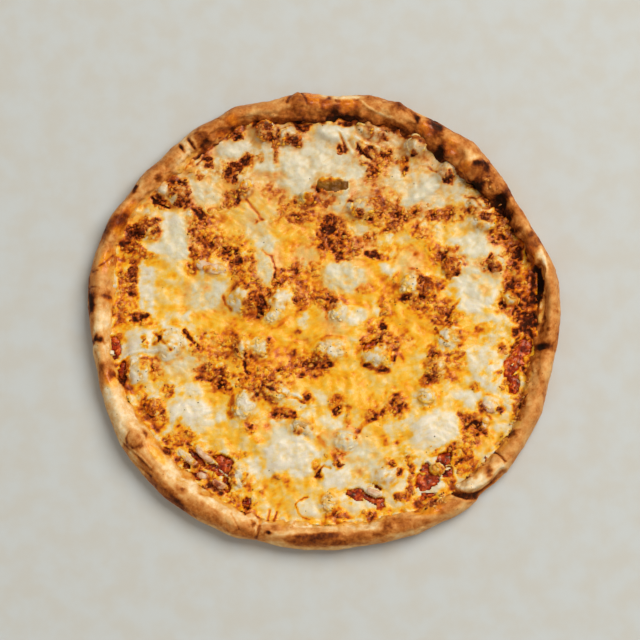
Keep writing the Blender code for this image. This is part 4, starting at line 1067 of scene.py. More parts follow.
def shadeSide(points):
    # 1 towards the upper right of the picture, where the rim's inner wall is in its own shade
    turn = np.arctan2(points[:, 1], points[:, 0]) - math.radians(crustLook["shadedSide"])
    return ease(-0.1, 0.75, np.cos(turn))


def crustBaking(points, facing, inward):
    # browning of the dough, with painted shade and light in it, and its oil at these points. facing is the
    # normal's height.
    pixels = toPixels(points)
    ragged = 1.8 * layeredNoise(points, 6.0, 51, 3) + 0.8 * softNoise(points, 2.0, 52)
    radius = np.hypot(points[:, 0], points[:, 1])
    turn = np.arctan2(points[:, 1], points[:, 0]) - math.radians(crustLook["brownestSide"])
    level = crustLook["topBrowning"] + crustLook["brownestBy"] * np.cos(turn)
    level = level + crustLook["blotches"] * layeredNoise(points, 14.0, 53, 4, 0.6)
    blotches = ease(0.25, 0.6, layeredNoise(points, 5.5, 59, 3))
    level = level + crustLook["blotches"] * blotches * ease(-0.2, 0.5, np.cos(turn))
    oil = np.zeros(len(points))
    for value, soft, strength, rugged, ovals in crustZones.values():
        for oval in ovals:
            level = mixed(level, value, strength * ovalCover(pixels, oval, rugged * ragged, soft))
    for oval in oilyPlaces:
        oil = np.maximum(oil, ovalCover(pixels, oval, ragged, 3.0))
    for width, _, change, stroke in crustStrokes.values():
        level = level + change * strokeCover(pixels, stroke, width, 1.6) * (facing > -0.3)
    # painted shade: the inner wall darkens towards its foot, most of all on the side in its own shade
    wallFootShade = inward * ease(21.0, 9.0, points[:, 2] + 3.0 * layeredNoise(points, 9.0, 57, 3))
    plain, shaded = crustLook["footBrowning"]
    level = level + wallFootShade * (plain + shaded * shadeSide(points))
    # cheese and its crumbs climb the wall in places
    uneven = 4.0 * layeredNoise(points * (1.0, 1.0, 0.4), 9.0, 58, 3)
    climbing = inward * ease(14.5, 10.0, points[:, 2] + uneven)
    for *oval, _ in cheeseSpills:
        spilt = ovalCover(pixels, oval, 2.0 * ragged, 5.0) * ease(0.1, 0.5, facing)
        climbing = np.maximum(climbing, spilt * ease(-0.35, 0.25, layeredNoise(points, 7.0, 67, 3)))
    climbing = climbing * ease(0.72, 0.52, level)
    cheeseLevel, _, _ = crumbledBaking(points)
    level = mixed(level, np.clip(cheeseLevel + 0.10 + 0.12 * ease(0.0, 0.6, facing), 0.0, 1.0), climbing)
    # below the widest part the side is browner, and the base has its own bake marks
    side = crustLook["sideBrowning"] + 0.14 * layeredNoise(points, 11.0, 54, 3)
    level = mixed(level, side, (1.0 - ease(-0.15, 0.35, facing)) * (radius > 138))
    spots = ease(0.05, 0.5, layeredNoise(points, 17.0, 55, 3))
    base = crustLook["baseBrowning"] - 0.16 + 0.42 * spots + 0.08 * softNoise(points, 5.0, 56)
    level = mixed(level, base, 1.0 - ease(-0.92, -0.6, facing))
    return np.clip(level, 0.0, 1.0), np.clip(oil * ease(0.0, 0.4, facing), 0.0, 1.0), climbing


def crustRelief(points):
    # wrinkles, blisters and cracks that are finer than the solid's own relief
    pixels = toPixels(points)
    relief = crustLook["swell"] * layeredNoise(points, 12.0, 61, 2)
    relief += crustLook["pores"] * softNoise(points, 2.6, 62)
    creases = 1.0 - np.abs(layeredNoise(points, 15.0, 60, 2))
    relief -= crustLook["creaseDepth"] * ease(0.90, 1.0, creases)
    nearest = cellNoise(points + 3.0 * softNoise(points, 8.0, 63)[:, None], 7.0, 64)
    relief += crustLook["blisterHeight"] * ease(0.45, 0.05, nearest)
    knobbly = ovalCover(pixels, knobblyPlace, 2 * softNoise(points, 5.0, 65), 3.0)
    small = cellNoise(points, 2.4, 66)
    relief += knobbly * crustLook["knobHeight"] * (1.0 - small)
    for width, height, _, stroke in crustStrokes.values():
        relief += height * strokeCover(pixels, stroke, width, 2.2)
    for *oval, height in crustDents:
        relief += height * ovalCover(pixels, oval, 0.0, 2.5)
    return relief


def makeCrust():
    turns, angles, core, reach, inner = castRim()
    around, across = reach.shape
    reach = blurRows(blurRing(reach, 2.2), (1, 3, 5, 3, 1))
    nudge = nudgeAt(np.degrees(turns), outlineNudges)[:, None] * np.clip(np.cos(angles), 0.0, 1.0)[None, :]
    nudge = nudge + nudgeAt(np.degrees(turns), wallNudges)[:, None] * ease(0.2, -0.8, np.cos(angles))[None, :]
    reach = reach + nudge * ease(-0.98, -0.6, np.sin(angles))[None, :]
    out = np.cos(angles)[None, :] * reach
    radius = core[:, None] + out
    height = crustLook["coreHeight"] + np.sin(angles)[None, :] * reach
    rim = np.stack((radius * np.cos(turns)[:, None], radius * np.sin(turns)[:, None], height), axis=2)
    alongRim = np.roll(rim, -1, axis=0) - np.roll(rim, 1, axis=0)
    acrossRim = np.gradient(rim, axis=1)
    normal = np.cross(acrossRim, alongRim)
    normal /= np.linalg.norm(normal, axis=2, keepdims=True) + 1e-9
    rise = height - crustLook["coreHeight"]
    outward = np.stack((out * np.cos(turns)[:, None], out * np.sin(turns)[:, None], rise), axis=2)
    normal *= np.sign((normal * outward).sum(axis=2, keepdims=True))
    flat = rim.reshape(-1, 3)
    free = ease(1.0, 5.0, height) * ease(206.0, 196.0, np.degrees(angles))[None, :]
    calm = 1.0 - 0.65 * ease(0.35, -0.1, normal[..., 2]) * (out > 0)  # the outer side is smoother
    wallSide = ease(0.1, -0.4, np.cos(angles))[None, :]
    plain, shaded = crustLook["wallLumps"]
    wallLumps = (plain + shaded * shadeSide(flat)) * layeredNoise(flat, 8.0, 68, 3)
    wallLumps = wallLumps.reshape(around, across) * wallSide
    move = ((crustRelief(flat).reshape(around, across) + wallLumps) * free * calm)[..., None] * normal
    rim = rim + move
    rim[..., 2] = np.maximum(rim[..., 2], 0.0)
    points = [rim.reshape(-1, 3)]
    facing = [normal[..., 2].ravel()]
    inward = [np.broadcast_to(ease(0.1, -0.4, np.cos(angles)), reach.shape).ravel()]
    faces = []

    def ring(i, j):
        return (i % around) * across + j

    for i in range(around):
        for j in range(across - 1):
            faces.append((ring(i, j), ring(i + 1, j), ring(i + 1, j + 1), ring(i, j + 1)))
    total = around * across
    # the resting face and the floor under the sauce, closed towards the middle
    for startColumn, level, shares, up in (
        (across - 1, 0.0, (0.97, 0.9, 0.8, 0.68, 0.55, 0.4, 0.25, 0.1), False),
        (0, crustLook["footHeight"], (0.9, 0.5), True),
    ):
        first = rim[:, startColumn, :]
        previous = [ring(i, startColumn) for i in range(around)]
        for share in shares:
            loop = first * (share, share, 0.0) + (0.0, 0.0, level)
            points.append(loop)
            facing.append(np.full(around, 1.0 if up else -1.0))
            inward.append(np.zeros(around))
            current = [total + i for i in range(around)]
            total += around
            for i in range(around):
                k = (i + 1) % around
                quad = (previous[i], previous[k], current[k], current[i])
                faces.append(quad if up else quad[::-1])
            previous = current
        points.append(np.array([[0.0, 0.0, level]]))
        facing.append(np.array([1.0 if up else -1.0]))
        inward.append(np.zeros(1))
        for i in range(around):
            k = (i + 1) % around
            fan = (previous[i], previous[k], total)
            faces.append(fan if up else fan[::-1])
        total += 1
    points = np.concatenate(points)
    facing = np.concatenate(facing)
    level, oil, cheesy = crustBaking(points, facing, np.concatenate(inward))
    masks = {"browning": level, "oil": oil, "cheesy": cheesy}
    piece = addPiece("crust_dough", points, faces, masks, crustMaterial(), "crust", "crust")
    mesh = bmesh.new()
    mesh.from_mesh(piece.data)
    bmesh.ops.recalc_face_normals(mesh, faces=mesh.faces)
    mesh.to_mesh(piece.data)
    mesh.free()
    piece.data.shade_smooth()
    return piece, turns, inner


crust, rimTurns, wallRadius = makeCrust()
print("crust made,", len(crust.data.polygons), "faces")


cheeseShape = {
    "spacing": 0.8,
    "beyondWall": 2.4,
    "edgeHeight": 7.6,
    "smoothing": 2.0,  # millimetres, rounds off the solid's facets
    "skinWidth": 1.1,  # the cheese that lies over a piece
    "skinWander": 0.7,
    "skinHeight": 0.9,
    "filletWidth": 4.0,  # the cheese that climbs beside a piece
    "filletHeight": 1.4,
    "besideBrowning": 0.20,
    "openingHeight": 4.6,
    "wallClimb": 2.4,
    "uncovered": ("mushroom_slice_02", "mushroom_slice_03"),
    "crumbHeight": 1.4,
    "strandHeight": 0.30,
    "swell": 0.65,
    "meltedRipple": 0.8,
    "crumbledRipple": 0.35,
    "pieceKnobs": 0.9,
    "pieceRipple": 0.45,
    "burntSink": 1.2,
    "shadeGap": 1.3,  # how far it sinks beside the wall that lies in shade
    "duller": (260.0, 150.0),  # rows of the picture between which the cheese turns less yellow
    "hollowWidth": 1.6,  # what counts as a hollow for the painted shade in hollows
}

# Relief in millimetres, where the piece's own colour shows, and that colour
toppingLooks = {
    "meat": {
        "piece": "steak_chunk", "rough": 1.15, "fine": 0.5, "swell": 0.25, "patchy": 1.2,
        "bareFrom": 0.3, "bareTo": 1.6,
        "colours": [(0.25, "8A5424"), (0.42, "C08C50"), (0.55, "D6AC74"), (0.75, "E0C498")],
        "mottlePerMetre": 330.0, "specksPerMetre": 420.0, "speckShare": 0.32, "bakedOver": 0.8,
    },
    "mushroom": {
        "piece": "mushroom_slice", "rough": 0.8, "fine": 0.25, "swell": 0.25, "patchy": 0.5,
        "bareFrom": -0.9, "bareTo": 0.3,
        "colours": [(0.30, "4A2804"), (0.46, "6E400A"), (0.58, "8A5812"), (0.76, "B8862A")],
        "mottlePerMetre": 70.0, "specksPerMetre": 300.0, "speckShare": 0.1, "bakedOver": 0.0,
    },
    "onion": {
        "piece": "onion_strip", "rough": 0.45, "fine": 0.15, "swell": -0.4, "patchy": 1.2,
        "bareFrom": -0.2, "bareTo": 1.0,
        "colours": [(0.25, "A8683A"), (0.42, "D2A078"), (0.58, "DFC2A4"), (0.78, "E8D9C6")],
        "mottlePerMetre": 200.0, "specksPerMetre": 330.0, "speckShare": 0.08, "bakedOver": 0.9,
    },
}
bareShares = {  # how much of the slice's own colour shows
    "mushroom_03": 0.45, "mushroom_04": 0.3, "mushroom_05": 0.0,
}
biggestCoarse = 10.5  # pieces longer than this get one more level of subdivision


def smoothCopy(node, levels):
    # the node's solid, welded and rounded by subdivision, in millimetres
    mesh = bmesh.new()
    mesh.from_mesh(node.data)
    bmesh.ops.remove_doubles(mesh, verts=mesh.verts, dist=1e-6)
    welded = bpy.data.meshes.new("welded")
    mesh.to_mesh(welded)
    mesh.free()
    cage = bpy.data.objects.new("cage", welded)
    bpy.context.scene.collection.objects.link(cage)
    rounding = cage.modifiers.new("rounding", "SUBSURF")
    rounding.levels = levels
    graph = bpy.context.evaluated_depsgraph_get()
    rounded = bpy.data.meshes.new_from_object(cage.evaluated_get(graph))
    points = np.array([vertex.co for vertex in rounded.vertices]) / millimetre
    normals = np.array([vertex.normal for vertex in rounded.vertices])
    faces = [tuple(polygon.vertices) for polygon in rounded.polygons]
    bpy.data.objects.remove(cage)
    bpy.data.meshes.remove(welded)
    bpy.data.meshes.remove(rounded)
    return points, normals, faces


def makeToppings():
    made = []
    for kind, look in toppingLooks.items():
        material = bakedMaterial(kind + "Finish", cheeseLook, look)
        names = sorted(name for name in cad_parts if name.startswith(kind + "_"))
        for name in names:
            low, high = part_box(name)
            size = max(high.x - low.x, high.y - low.y) / millimetre
            points, normals, faces = smoothCopy(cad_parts[name], 3 if size > biggestCoarse else 2)
            relief = look["rough"] * layeredNoise(points, 4.2, 71, 2)
            relief += look["fine"] * softNoise(points, 1.5, 72)
            ridges = 1.0 - np.abs(softNoise(points, 3.0, 73))
            relief += look["fine"] * (ridges - 0.6)
            points = points + normals * (relief + look["swell"])[:, None]
            level, crumbly, _ = crumbledBaking(points)
            top = points[:, 2].max()
            bare = ease(look["bareFrom"], look["bareTo"], look["patchy"] * layeredNoise(points, 5.0, 74, 2)
                        + 0.9 - 0.35 * (top - points[:, 2]))
            bare = bare * (1.0 - look["bakedOver"] * ease(0.5, 0.75, level))
            bare = bare * bareShares.get(name, 1.0)
            if kind == "mushroom":
                middle = (points[:, 1].max() + points[:, 1].min()) / 2
                towardLitEdge = (points[:, 1] - middle) / (points[:, 1].max() - middle)
                towardLitEdge = towardLitEdge + 0.3 * layeredNoise(points, 4.0, 75, 2)
                # the sides of a slice are baked, and its upper edge on the picture gets the paler baked
                # colour as a painted lit rim
                bare = bare * ease(0.2, 0.75, normals[:, 2]) * ease(0.85, 0.3, towardLitEdge)
            if kind == "meat":
                bare = bare * mixed(0.45, 1.0, ease(*cheeseShape["duller"], toPixels(points)[:, 1]))
            masks = {"browning": level, "crumbly": crumbly, "bare": bare}
            piece = addPiece(look["piece"] + name[-3:], points, faces, masks, material, kind, name)
            made.append(piece)
    return made


toppings = makeToppings()
print("toppings made,", len(toppings), "pieces")


sauceShape = {
    "spacing": 1.0,
    "beyondWall": 0.6,
    "height": 5.9,
    "swell": 0.5,
    "lumpHeight": 1.3,
    "lift": 1.2,  # how far it rises in the openings of the cheese
    "wallDip": 0.8,
}


def wallAt(points):
    # radius of the crust's inner wall at the angle of each point
    angle = np.arctan2(points[:, 1], points[:, 0]) % (2 * math.pi)
    return np.interp(angle, np.append(rimTurns, 2 * math.pi), np.append(wallRadius, wallRadius[0]))


def gridInside(spacing, beyond):
    # the points of a square grid, and which of them lie inside the crust's wall or at most this far beyond it
    half = math.ceil((wallRadius.max() + beyond) / spacing)
    ticks = np.arange(-half, half + 1) * spacing
    x, y = np.meshgrid(ticks, ticks)
    points = np.stack((x.ravel(), y.ravel(), np.zeros(x.size)), axis=1)
    inside = np.hypot(points[:, 0], points[:, 1]) < wallAt(points) + beyond
    return points, inside.reshape(x.shape)


def facesOf(kept):
    # quads of the grid whose four corners are kept, and the new number of each kept corner
    numbers = np.full(kept.shape, -1)
    quads = kept[:-1, :-1] & kept[1:, :-1] & kept[1:, 1:] & kept[:-1, 1:]
    used = np.zeros_like(kept)
    for rowShift, columnShift in ((0, 0), (1, 0), (1, 1), (0, 1)):
        used[rowShift:rowShift + quads.shape[0], columnShift:columnShift + quads.shape[1]] |= quads
    numbers[used] = np.arange(used.sum())
    rows, columns = np.nonzero(quads)
    faces = np.stack((numbers[rows, columns], numbers[rows, columns + 1],
                      numbers[rows + 1, columns + 1], numbers[rows + 1, columns]), axis=1)
    return used, faces.tolist()


def makeSauce():
    points, inside = gridInside(sauceShape["spacing"], sauceShape["beyondWall"])
    nearest = cellNoise(points + 0.8 * softNoise(points, 2.5, 83)[:, None], 3.6, 82)
    lumps = sauceShape["swell"] * layeredNoise(points, 6.0, 81, 3)
    lumps += sauceShape["lumpHeight"] * (0.8 - nearest)
    toWall = wallAt(points) - np.hypot(points[:, 0], points[:, 1])
    points[:, 2] = sauceShape["height"] + lumps - sauceShape["wallDip"] * ease(3.5, 0.0, toWall)
    points[:, 2] += sauceShape["lift"] * openingAt(points)
    used, faces = facesOf(inside)
    kept = points[used.ravel()]
    return addPiece("tomato_sauce", kept, faces, {}, sauceMaterial(), "sauce", "sauce")


sauce = makeSauce()
print("sauce made,", len(sauce.data.polygons), "faces")


def makeCheese():
    spacing = cheeseShape["spacing"]
    points, inside = gridInside(spacing, cheeseShape["beyondWall"])
    shape = inside.shape
    flat = points.copy()
    solid = surfaceOf(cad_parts["cheese"])
    base = heightUnder(solid, points, cheeseShape["edgeHeight"]).reshape(shape)
    base = blurGrid(base, cheeseShape["smoothing"] / spacing)
    tops = np.maximum(base, heightUnder(surfaceOf(*toppings), points, -1.0).reshape(shape))
    covered = [piece for piece in toppings if piece.name not in cheeseShape["uncovered"]]
    coveredTops = np.maximum(base, heightUnder(surfaceOf(*covered), points, -1.0).reshape(shape))
    skin = (blurGrid(coveredTops, cheeseShape["skinWidth"] / spacing) - base).ravel()
    fillet = (blurGrid(tops, cheeseShape["filletWidth"] / spacing) - base).ravel()
    base = base.ravel()
    browning, crumbly, crumbs = crumbledBaking(points)
    calm = 1.0 - ease(0.2, 0.6, crumbly)
    onPiece = ease(0.1, 0.7, skin)
    skin = skin + onPiece * cheeseShape["skinWander"] * (layeredNoise(flat, 5.0, 91, 3) + 0.5)
    height = base + np.maximum(skin * cheeseShape["skinHeight"], fillet * cheeseShape["filletHeight"])
    height += cheeseShape["swell"] * layeredNoise(flat, 12.0, 96, 2)
    knobs = cellNoise(flat + 0.9 * softNoise(flat, 2.5, 108)[:, None], 4.0, 109)
    ripple = cheeseShape["pieceRipple"] * layeredNoise(flat, 3.2, 99, 2)
    pieceLumps = onPiece * (cheeseShape["pieceKnobs"] * (0.55 - knobs) + ripple)
    height += pieceLumps
    # the cheese over a piece browns in patches, with painted shade between its knobs and painted light on
    # them
    browning = browning + onPiece * (0.05 + 0.24 * layeredNoise(flat, 4.0, 110, 3) - 0.14 * pieceLumps)
    # browner at the foot of a piece: toasting, and painted shade in the crevice
    beside = ease(0.12, 0.4, fillet) * (1.0 - onPiece) * ease(-0.2, 0.3, layeredNoise(flat, 8.0, 113, 2))
    browning = browning + cheeseShape["besideBrowning"] * beside
    height += crumbly * cheeseShape["crumbHeight"] * (crumbs - 0.5)
    height += (1.0 - calm) * cheeseShape["crumbledRipple"] * layeredNoise(flat, 3.4, 97, 2)
    strands = 1.0 - 2.0 * np.abs(drawnNoise(flat, 3.0, 3.4, 112))
    ripple = calm * cheeseShape["meltedRipple"] * layeredNoise(flat, 7.5, 98, 2)
    height += cheeseShape["strandHeight"] * strands + ripple
    height -= cheeseShape["burntSink"] * ease(0.70, 0.88, browning)
    pixels = toPixels(points)
    for *oval, rise in cheeseMounds:
        height += rise * ovalCover(pixels, oval, 1.5 * layeredNoise(flat, 6.0, 114, 2), 5.0)
    for width, _, rise, stroke in cheeseStrokes:
        height += rise * strokeCover(pixels, stroke, width, 2.4)
    toWall = wallAt(flat) - np.hypot(flat[:, 0], flat[:, 1])
    # beside the wall on its shaded side the cheese sinks, and painted shade browns it
    wallShadowGap = shadeSide(flat) * ease(2.6, 0.4, toWall + 3.0 * layeredNoise(flat, 10.0, 103, 3))
    climb = cheeseShape["wallClimb"] * (0.6 + 0.9 * layeredNoise(flat, 6.0, 102, 3))
    height += np.maximum(climb, 0.8) * ease(3.2, -0.4, toWall) - cheeseShape["shadeGap"] * wallShadowGap
    browning = mixed(browning, 0.72, 0.6 * wallShadowGap)
    browning = browning + ease(6.0, 1.0, toWall) * (0.12 + 0.2 * layeredNoise(flat, 7.0, 119, 3))
    # the bare slices stand free, apart from their lower edge on the picture
    bareSurface = surfaceOf(*(piece for piece in toppings if piece not in covered))
    bareTops = heightUnder(bareSurface, points, 99.0)
    shift = 2.6 + 2.2 * layeredNoise(flat, 7.0, 107, 2)
    below = heightUnder(bareSurface, flat + np.stack((0.4 * shift, -shift, 0 * shift), axis=1), 99.0)
    height = np.where(bareTops < 99.0, bareTops + np.where(below < 99.0, -1.0, 0.3), height)
    opening = openingAt(flat)
    height = mixed(height, cheeseShape["openingHeight"], ease(0.30, 0.95, opening))
    points[:, 2] = height
    aroundOpening = ease(0.02, 0.6, openingAt(flat, 7.0)) * ease(-0.4, 0.2, layeredNoise(flat, 5.0, 117, 3))
    browning = mixed(browning, 0.64 + 0.22 * layeredNoise(flat, 3.0, 118, 2), 0.8 * aroundOpening)
    relief = height.reshape(shape)
    # painted shade in the hollows of the relief and painted light on its rises
    hollowShade = (blurGrid(relief, cheeseShape["hollowWidth"] / spacing) - relief).ravel()
    hollowShade = np.clip(hollowShade, -0.5, 0.7)
    browning = np.clip(browning + hollowShade * mixed(0.26, 0.20, calm), 0.0, 1.0)
    # the tan mask: painted highlights on the tops of crumbs, painted shade towards the top of the picture and
    # in hollows, and a duller tone on the pieces
    crumbHighlights = crumbly * ease(0.62, 0.9, crumbs) * ease(-0.3, 0.3, layeredNoise(flat, 6.0, 106, 2))
    inUpper = ease(*cheeseShape["duller"], pixels[:, 1])
    upperShade = inUpper * (0.45 + 0.3 * layeredNoise(flat, 12.0, 121, 3))
    shaded = np.clip(upperShade + mixed(0.4, 0.9, inUpper) * onPiece + 0.8 * crumbHighlights
                     + mixed(0.3, 1.0, inUpper) * hollowShade, 0.0, 1.0)
    used, faces = facesOf(inside & (opening < 0.97).reshape(shape))
    kept = used.ravel()
    olive = 0.55 * inUpper
    for oval in oliveZones:
        olive = np.maximum(olive, ovalCover(pixels, oval, 5.0 * layeredNoise(flat, 9.0, 116, 3), 9.0))
    olive = olive * ease(0.58, 0.34, browning)
    masks = {"browning": browning[kept], "crumbly": crumbly[kept], "tan": shaded[kept], "olive": olive[kept]}
    return addPiece("melted_cheese", points[kept], faces, masks, cheeseFinish, "cheese", "cheese")


cheeseFinish = bakedMaterial("meltedCheese", cheeseLook)
cheese = makeCheese()
print("cheese made,", len(cheese.data.polygons), "faces")


looseShape = {
    "reach": 150.0,
    "onCrust": 12.0,
    "crumbTries": 17500,
    "mostCrumbs": 1900,
    "toastedShare": 1.1,  # the chance of a crumb where the cheese is toasted
    "openingShare": 0.16,
    "spiltShare": 0.7,
    "fewCrumbs": [(523, 295, 13, 48), (503, 203, 9, 10)],  # ovals on the picture
    "fewShare": 0.75,  # the part of the crumbs that is left out there
    "openingLevel": (0.62, 0.88),
    "onCrustLevel": (0.40, 0.74),
    "crumbLength": (1.0, 2.6),
    "crumbWidth": (0.6, 1.2),
    "crumbHeight": (0.4, 0.7),
    "crumbDents": 0.28,
    "crumbTurn": (0.5, 0.7),  # radians, the usual one and its spread
    "crumbTip": 0.25,
    "crumbSunk": 0.3,
    "crumbSpread": 0.10,  # of the browning
    "crumbPalest": (0.34, 0.42),  # on the crust and on the cheese
    "crumbDarkest": 0.84,
    "flecks": 900,
    "fleckDents": 0.3,
    "fleckSize": (0.28, 0.55),
    "fleckWidth": (0.6, 1.0),  # as a part of the size
    "fleckShares": (0.10, 0.85),  # away from the meat and beside it
    "fleckReach": (11.0, 4.0),
    "fleckColours": [(0.35, "1C1006"), (0.55, "3A2410"), (0.75, "6A4A24")],
    "fleckMottlePerMetre": 900.0,
    "fleckRoughness": 0.6,
}


def scatter(count, seed, beyond=-1.0):
    # repeatable places up to this far beyond the wall, with four random numbers for each
    random = np.random.default_rng(seed)
    turn = random.uniform(0.0, 2 * math.pi, count)
    away = np.sqrt(random.uniform(0.0, 1.0, count)) * looseShape["reach"]
    places = np.stack((away * np.cos(turn), away * np.sin(turn), np.zeros(count)), axis=1)
    inside = away < wallAt(places) + beyond
    return places[inside], random.uniform(0.0, 1.0, (count, 4))[inside]


def blob(detail):
    # points and faces of a small ball
    mesh = bmesh.new()
    bmesh.ops.create_icosphere(mesh, subdivisions=detail, radius=1.0)
    points = np.array([vertex.co for vertex in mesh.verts])
    faces = np.array([[vertex.index for vertex in face.verts] for face in mesh.faces])
    mesh.free()
    return points, faces


def spun(points, angle, first, second):
    # the points turned by this angle in the plane of these two axes
    matrix = np.eye(3)
    matrix[first, first] = matrix[second, second] = math.cos(angle)
    matrix[first, second] = math.sin(angle)
    matrix[second, first] = -math.sin(angle)
    return points @ matrix


def makeCrumbs(ground):
    # bits of toasted cheese that stand up from the browned places
    places, chance = scatter(looseShape["crumbTries"], 21, looseShape["onCrust"])
    level, crumbly, _ = crumbledBaking(places)
    pixels = toPixels(places)
    onCrust = np.hypot(places[:, 0], places[:, 1]) > wallAt(places) - 1.0
    spilt = np.zeros(len(places))
    for *oval, share in cheeseSpills:
        cover = ovalCover(pixels, oval, 3.0 * layeredNoise(places, 5.0, 69, 2), 4.0)
        spilt = np.maximum(spilt, share * cover)
    wanted = chance[:, 0] < looseShape["toastedShare"] * ease(0.40, 0.95, crumbly) * ease(0.34, 0.55, level)
    inOpening = openingAt(places) > 0.3
    wanted = np.where(inOpening, chance[:, 0] < looseShape["openingShare"], wanted)
    wanted = np.where(onCrust, chance[:, 0] < looseShape["spiltShare"] * spilt, wanted)
    for smooth in looseShape["fewCrumbs"]:
        wanted = wanted & (chance[:, 1] > looseShape["fewShare"] * ovalCover(pixels, smooth, 0.0, 4.0))
    bareSlices = surfaceOf(*(piece for piece in toppings if piece.name in cheeseShape["uncovered"]))
    wanted = wanted & (heightUnder(bareSlices, places, -1.0) < 0.0)
    level = np.where(inOpening, mixed(*looseShape["openingLevel"], chance[:, 3]), level)
    level = np.where(onCrust, mixed(*looseShape["onCrustLevel"], chance[:, 3]), level)
    kept = np.flatnonzero(wanted)[:looseShape["mostCrumbs"]]
    places, chance, level, onCrust = places[kept], chance[kept], level[kept], onCrust[kept]
    ball, ballFaces = blob(1)
    heights = heightUnder(ground, places, -1.0)
    random = np.random.default_rng(22)
    usualTurn, turnSpread = looseShape["crumbTurn"]
    onCrustPalest, palest = looseShape["crumbPalest"]
    points, faces, browning, tan = [], [], [], []
    for i, (place, height) in enumerate(zip(places, heights)):
        if height < 0.0:
            continue
        length = mixed(*looseShape["crumbLength"], chance[i, 1])
        width = mixed(*looseShape["crumbWidth"], chance[i, 2])
        tall = mixed(*looseShape["crumbHeight"], chance[i, 3])
        dented = ball * (1.0 + looseShape["crumbDents"] * random.uniform(-1.0, 1.0, (len(ball), 1)))
        shape = dented * (length, width, tall)
        turn = usualTurn + random.normal(0.0, turnSpread)
        tip = random.normal(0.0, looseShape["crumbTip"])
        shape = spun(spun(shape, tip, 0, 2), turn, 0, 1)
        faces += (ballFaces + len(points) * len(ball)).tolist()
        points.append(shape + (place[0], place[1], height - looseShape["crumbSunk"] * tall))
        own = level[i] - 0.02 + looseShape["crumbSpread"] * random.normal()
        own = np.clip(own, onCrustPalest if onCrust[i] else palest, looseShape["crumbDarkest"])
        # painted shade: each crumb is paler on top and browner underneath
        browning.append(own + 0.04 * random.uniform(-1.0, 1.0, len(ball)) - 0.06 * dented[:, 2])
        tan.append(np.full(len(ball), 1.0 if onCrust[i] else random.uniform(0.1, 0.9)))
    masks = {"browning": np.clip(np.concatenate(browning), 0.08, 1.0), "tan": np.concatenate(tan)}
    masks["crumbly"] = np.full(len(masks["tan"]), 0.5)
    return addPiece("toasted_crumbs", np.concatenate(points), faces, masks, cheeseFinish, "cheese")


def pepperMaterial():
    material, tree, shader, place = newMaterial("blackPepper")
    mottle = addNoise(tree, place, looseShape["fleckMottlePerMetre"], 2.0)
    colour = addRamp(tree, mottle, looseShape["fleckColours"])
    feed(tree, shader, {"Base Color": colour, "Roughness": looseShape["fleckRoughness"]})
    return material


def makeFlecks(ground):
    # black pepper, thickest around the meat
    places, chance = scatter(looseShape["flecks"], 41)
    nearMeat = np.full(len(places), 99.0)
    for piece in toppings:
        if piece.name.startswith("steak"):
            low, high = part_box(piece.name.replace("steak_chunk", "meat"))
            middle = np.array(((low.x + high.x) / 2, (low.y + high.y) / 2)) / millimetre
            nearMeat = np.minimum(nearMeat, np.linalg.norm(places[:, :2] - middle, axis=1))
    wanted = chance[:, 0] < mixed(*looseShape["fleckShares"], ease(*looseShape["fleckReach"], nearMeat))
    places, chance = places[wanted], chance[wanted]
    heights = heightUnder(ground, places, -1.0)
    ball, ballFaces = blob(1)
    random = np.random.default_rng(42)
    points, faces = [], []
    for i, (place, height) in enumerate(zip(places, heights)):
        if height < 0.0:
            continue
        size = mixed(*looseShape["fleckSize"], chance[i, 1])
        dented = ball * (1.0 + looseShape["fleckDents"] * random.uniform(-1.0, 1.0, (len(ball), 1)))
        faces += (ballFaces + len(points) * len(ball)).tolist()
        dented = dented * (size, size * mixed(*looseShape["fleckWidth"], chance[i, 2]), size * 0.6)
        points.append(dented + (place[0], place[1], height))
    return addPiece("pepper_flecks", np.concatenate(points), faces, {}, pepperMaterial(), "meat")


ground = surfaceOf(crust, sauce, cheese, *toppings)
crumbs = makeCrumbs(ground)
flecks = makeFlecks(ground)
print("loose things made,", len(crumbs.data.polygons) + len(flecks.data.polygons), "faces")


stageLook = {
    "floorSide": 4.0,  # half the floor's width in metres
    "floor": "C3C8C8",
    "floorClouds": "C2C2BC",
    "cloudsPerMetre": 60.0,
    "floorRoughness": 0.7,
    "keyPlace": (1.40, 1.20, 2.60),
    "keySize": 2.3,
    "keyPower": 95.0,
    "keyColour": (1.0, 0.965, 0.92),
    "fillPlace": (-0.35, -0.85, 1.0),
    "fillSize": 1.6,
    "fillPower": 2.6,
    "fillColour": (1.0, 1.0, 1.0),
    "sky": (1.0, 0.93, 0.80),
    "skyStrength": 0.31,
}


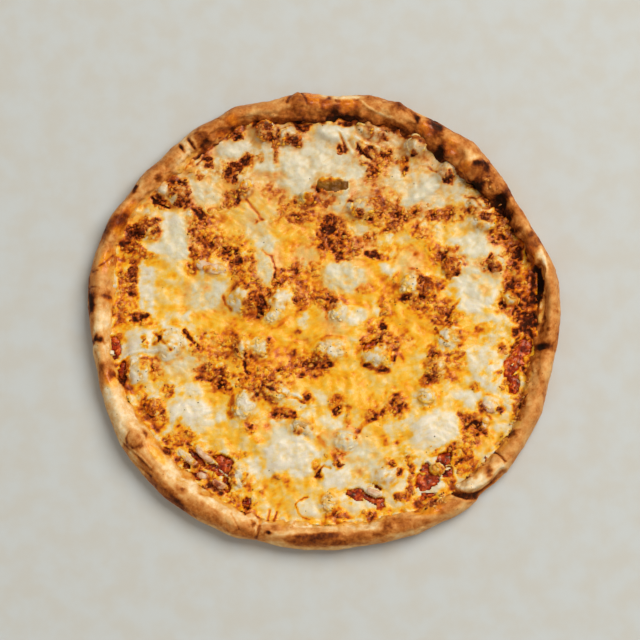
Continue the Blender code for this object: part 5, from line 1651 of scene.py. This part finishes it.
def makeFloor():
    mesh = bpy.data.meshes.new("floor")
    side = stageLook["floorSide"]
    corners = [(-side, -side, 0), (side, -side, 0), (side, side, 0), (-side, side, 0)]
    mesh.from_pydata(corners, [], [(0, 1, 2, 3)])
    material, tree, shader, place = newMaterial("paleFloor")
    cloud = addRange(tree, addNoise(tree, place, stageLook["cloudsPerMetre"], 4.0), 0.3, 0.7)
    colour = addMix(tree, cloud, paint(stageLook["floorClouds"]), paint(stageLook["floor"]))
    feed(tree, shader, {"Base Color": colour, "Roughness": stageLook["floorRoughness"]})
    mesh.materials.append(material)
    floor = bpy.data.objects.new("floor", mesh)
    bpy.context.scene.collection.objects.link(floor)


def makeLight():
    for name in ("key", "fill"):
        data = bpy.data.lights.new(name + "Light", "AREA")
        data.shape = "DISK"
        data.size = stageLook[name + "Size"]
        data.energy = stageLook[name + "Power"]
        data.color = stageLook[name + "Colour"]
        light = bpy.data.objects.new(name + "Light", data)
        light.location = stageLook[name + "Place"]
        light.rotation_euler = (-light.location).to_track_quat("-Z", "Y").to_euler()
        bpy.context.scene.collection.objects.link(light)
    world = bpy.data.worlds.new("studio")
    world.use_nodes = True
    background = world.node_tree.nodes["Background"]
    background.inputs["Color"].default_value = (*stageLook["sky"], 1.0)
    background.inputs["Strength"].default_value = stageLook["skyStrength"]
    bpy.context.scene.world = world
    bpy.context.scene.view_settings.view_transform = "Standard"


cameraLook = {
    "elevation": 81.5,
    "distance": 3.0,
    "sensor": 36.0,
    "framePixels": 640,
    "aimX": 320.0,  # the pixel at the middle of the picture
    "aimY": 320.0,
    "aimHeight": 0.008,
    "margin": 1.002,
}


def makeCamera():
    frameWidth = cameraLook["framePixels"] * picture["mmAcross"] * millimetre * cameraLook["margin"]
    data = bpy.data.cameras.new("camera")
    data.sensor_width = cameraLook["sensor"]
    data.lens = cameraLook["sensor"] * cameraLook["distance"] / frameWidth
    camera = bpy.data.objects.new("camera", data)
    aimX = (cameraLook["aimX"] - picture["originX"]) * picture["mmAcross"] * millimetre
    aimY = (picture["originY"] - cameraLook["aimY"]) * picture["mmUp"] * millimetre
    aim = Vector((aimX, aimY, cameraLook["aimHeight"]))
    rise = math.radians(cameraLook["elevation"])
    back = Vector((0.0, -math.cos(rise), math.sin(rise)))
    camera.location = aim + back * cameraLook["distance"]
    camera.rotation_euler = (-back).to_track_quat("-Z", "Y").to_euler()
    bpy.context.scene.collection.objects.link(camera)
    bpy.context.scene.camera = camera


makeFloor()
makeLight()
makeCamera()
print("floor, light and camera made")
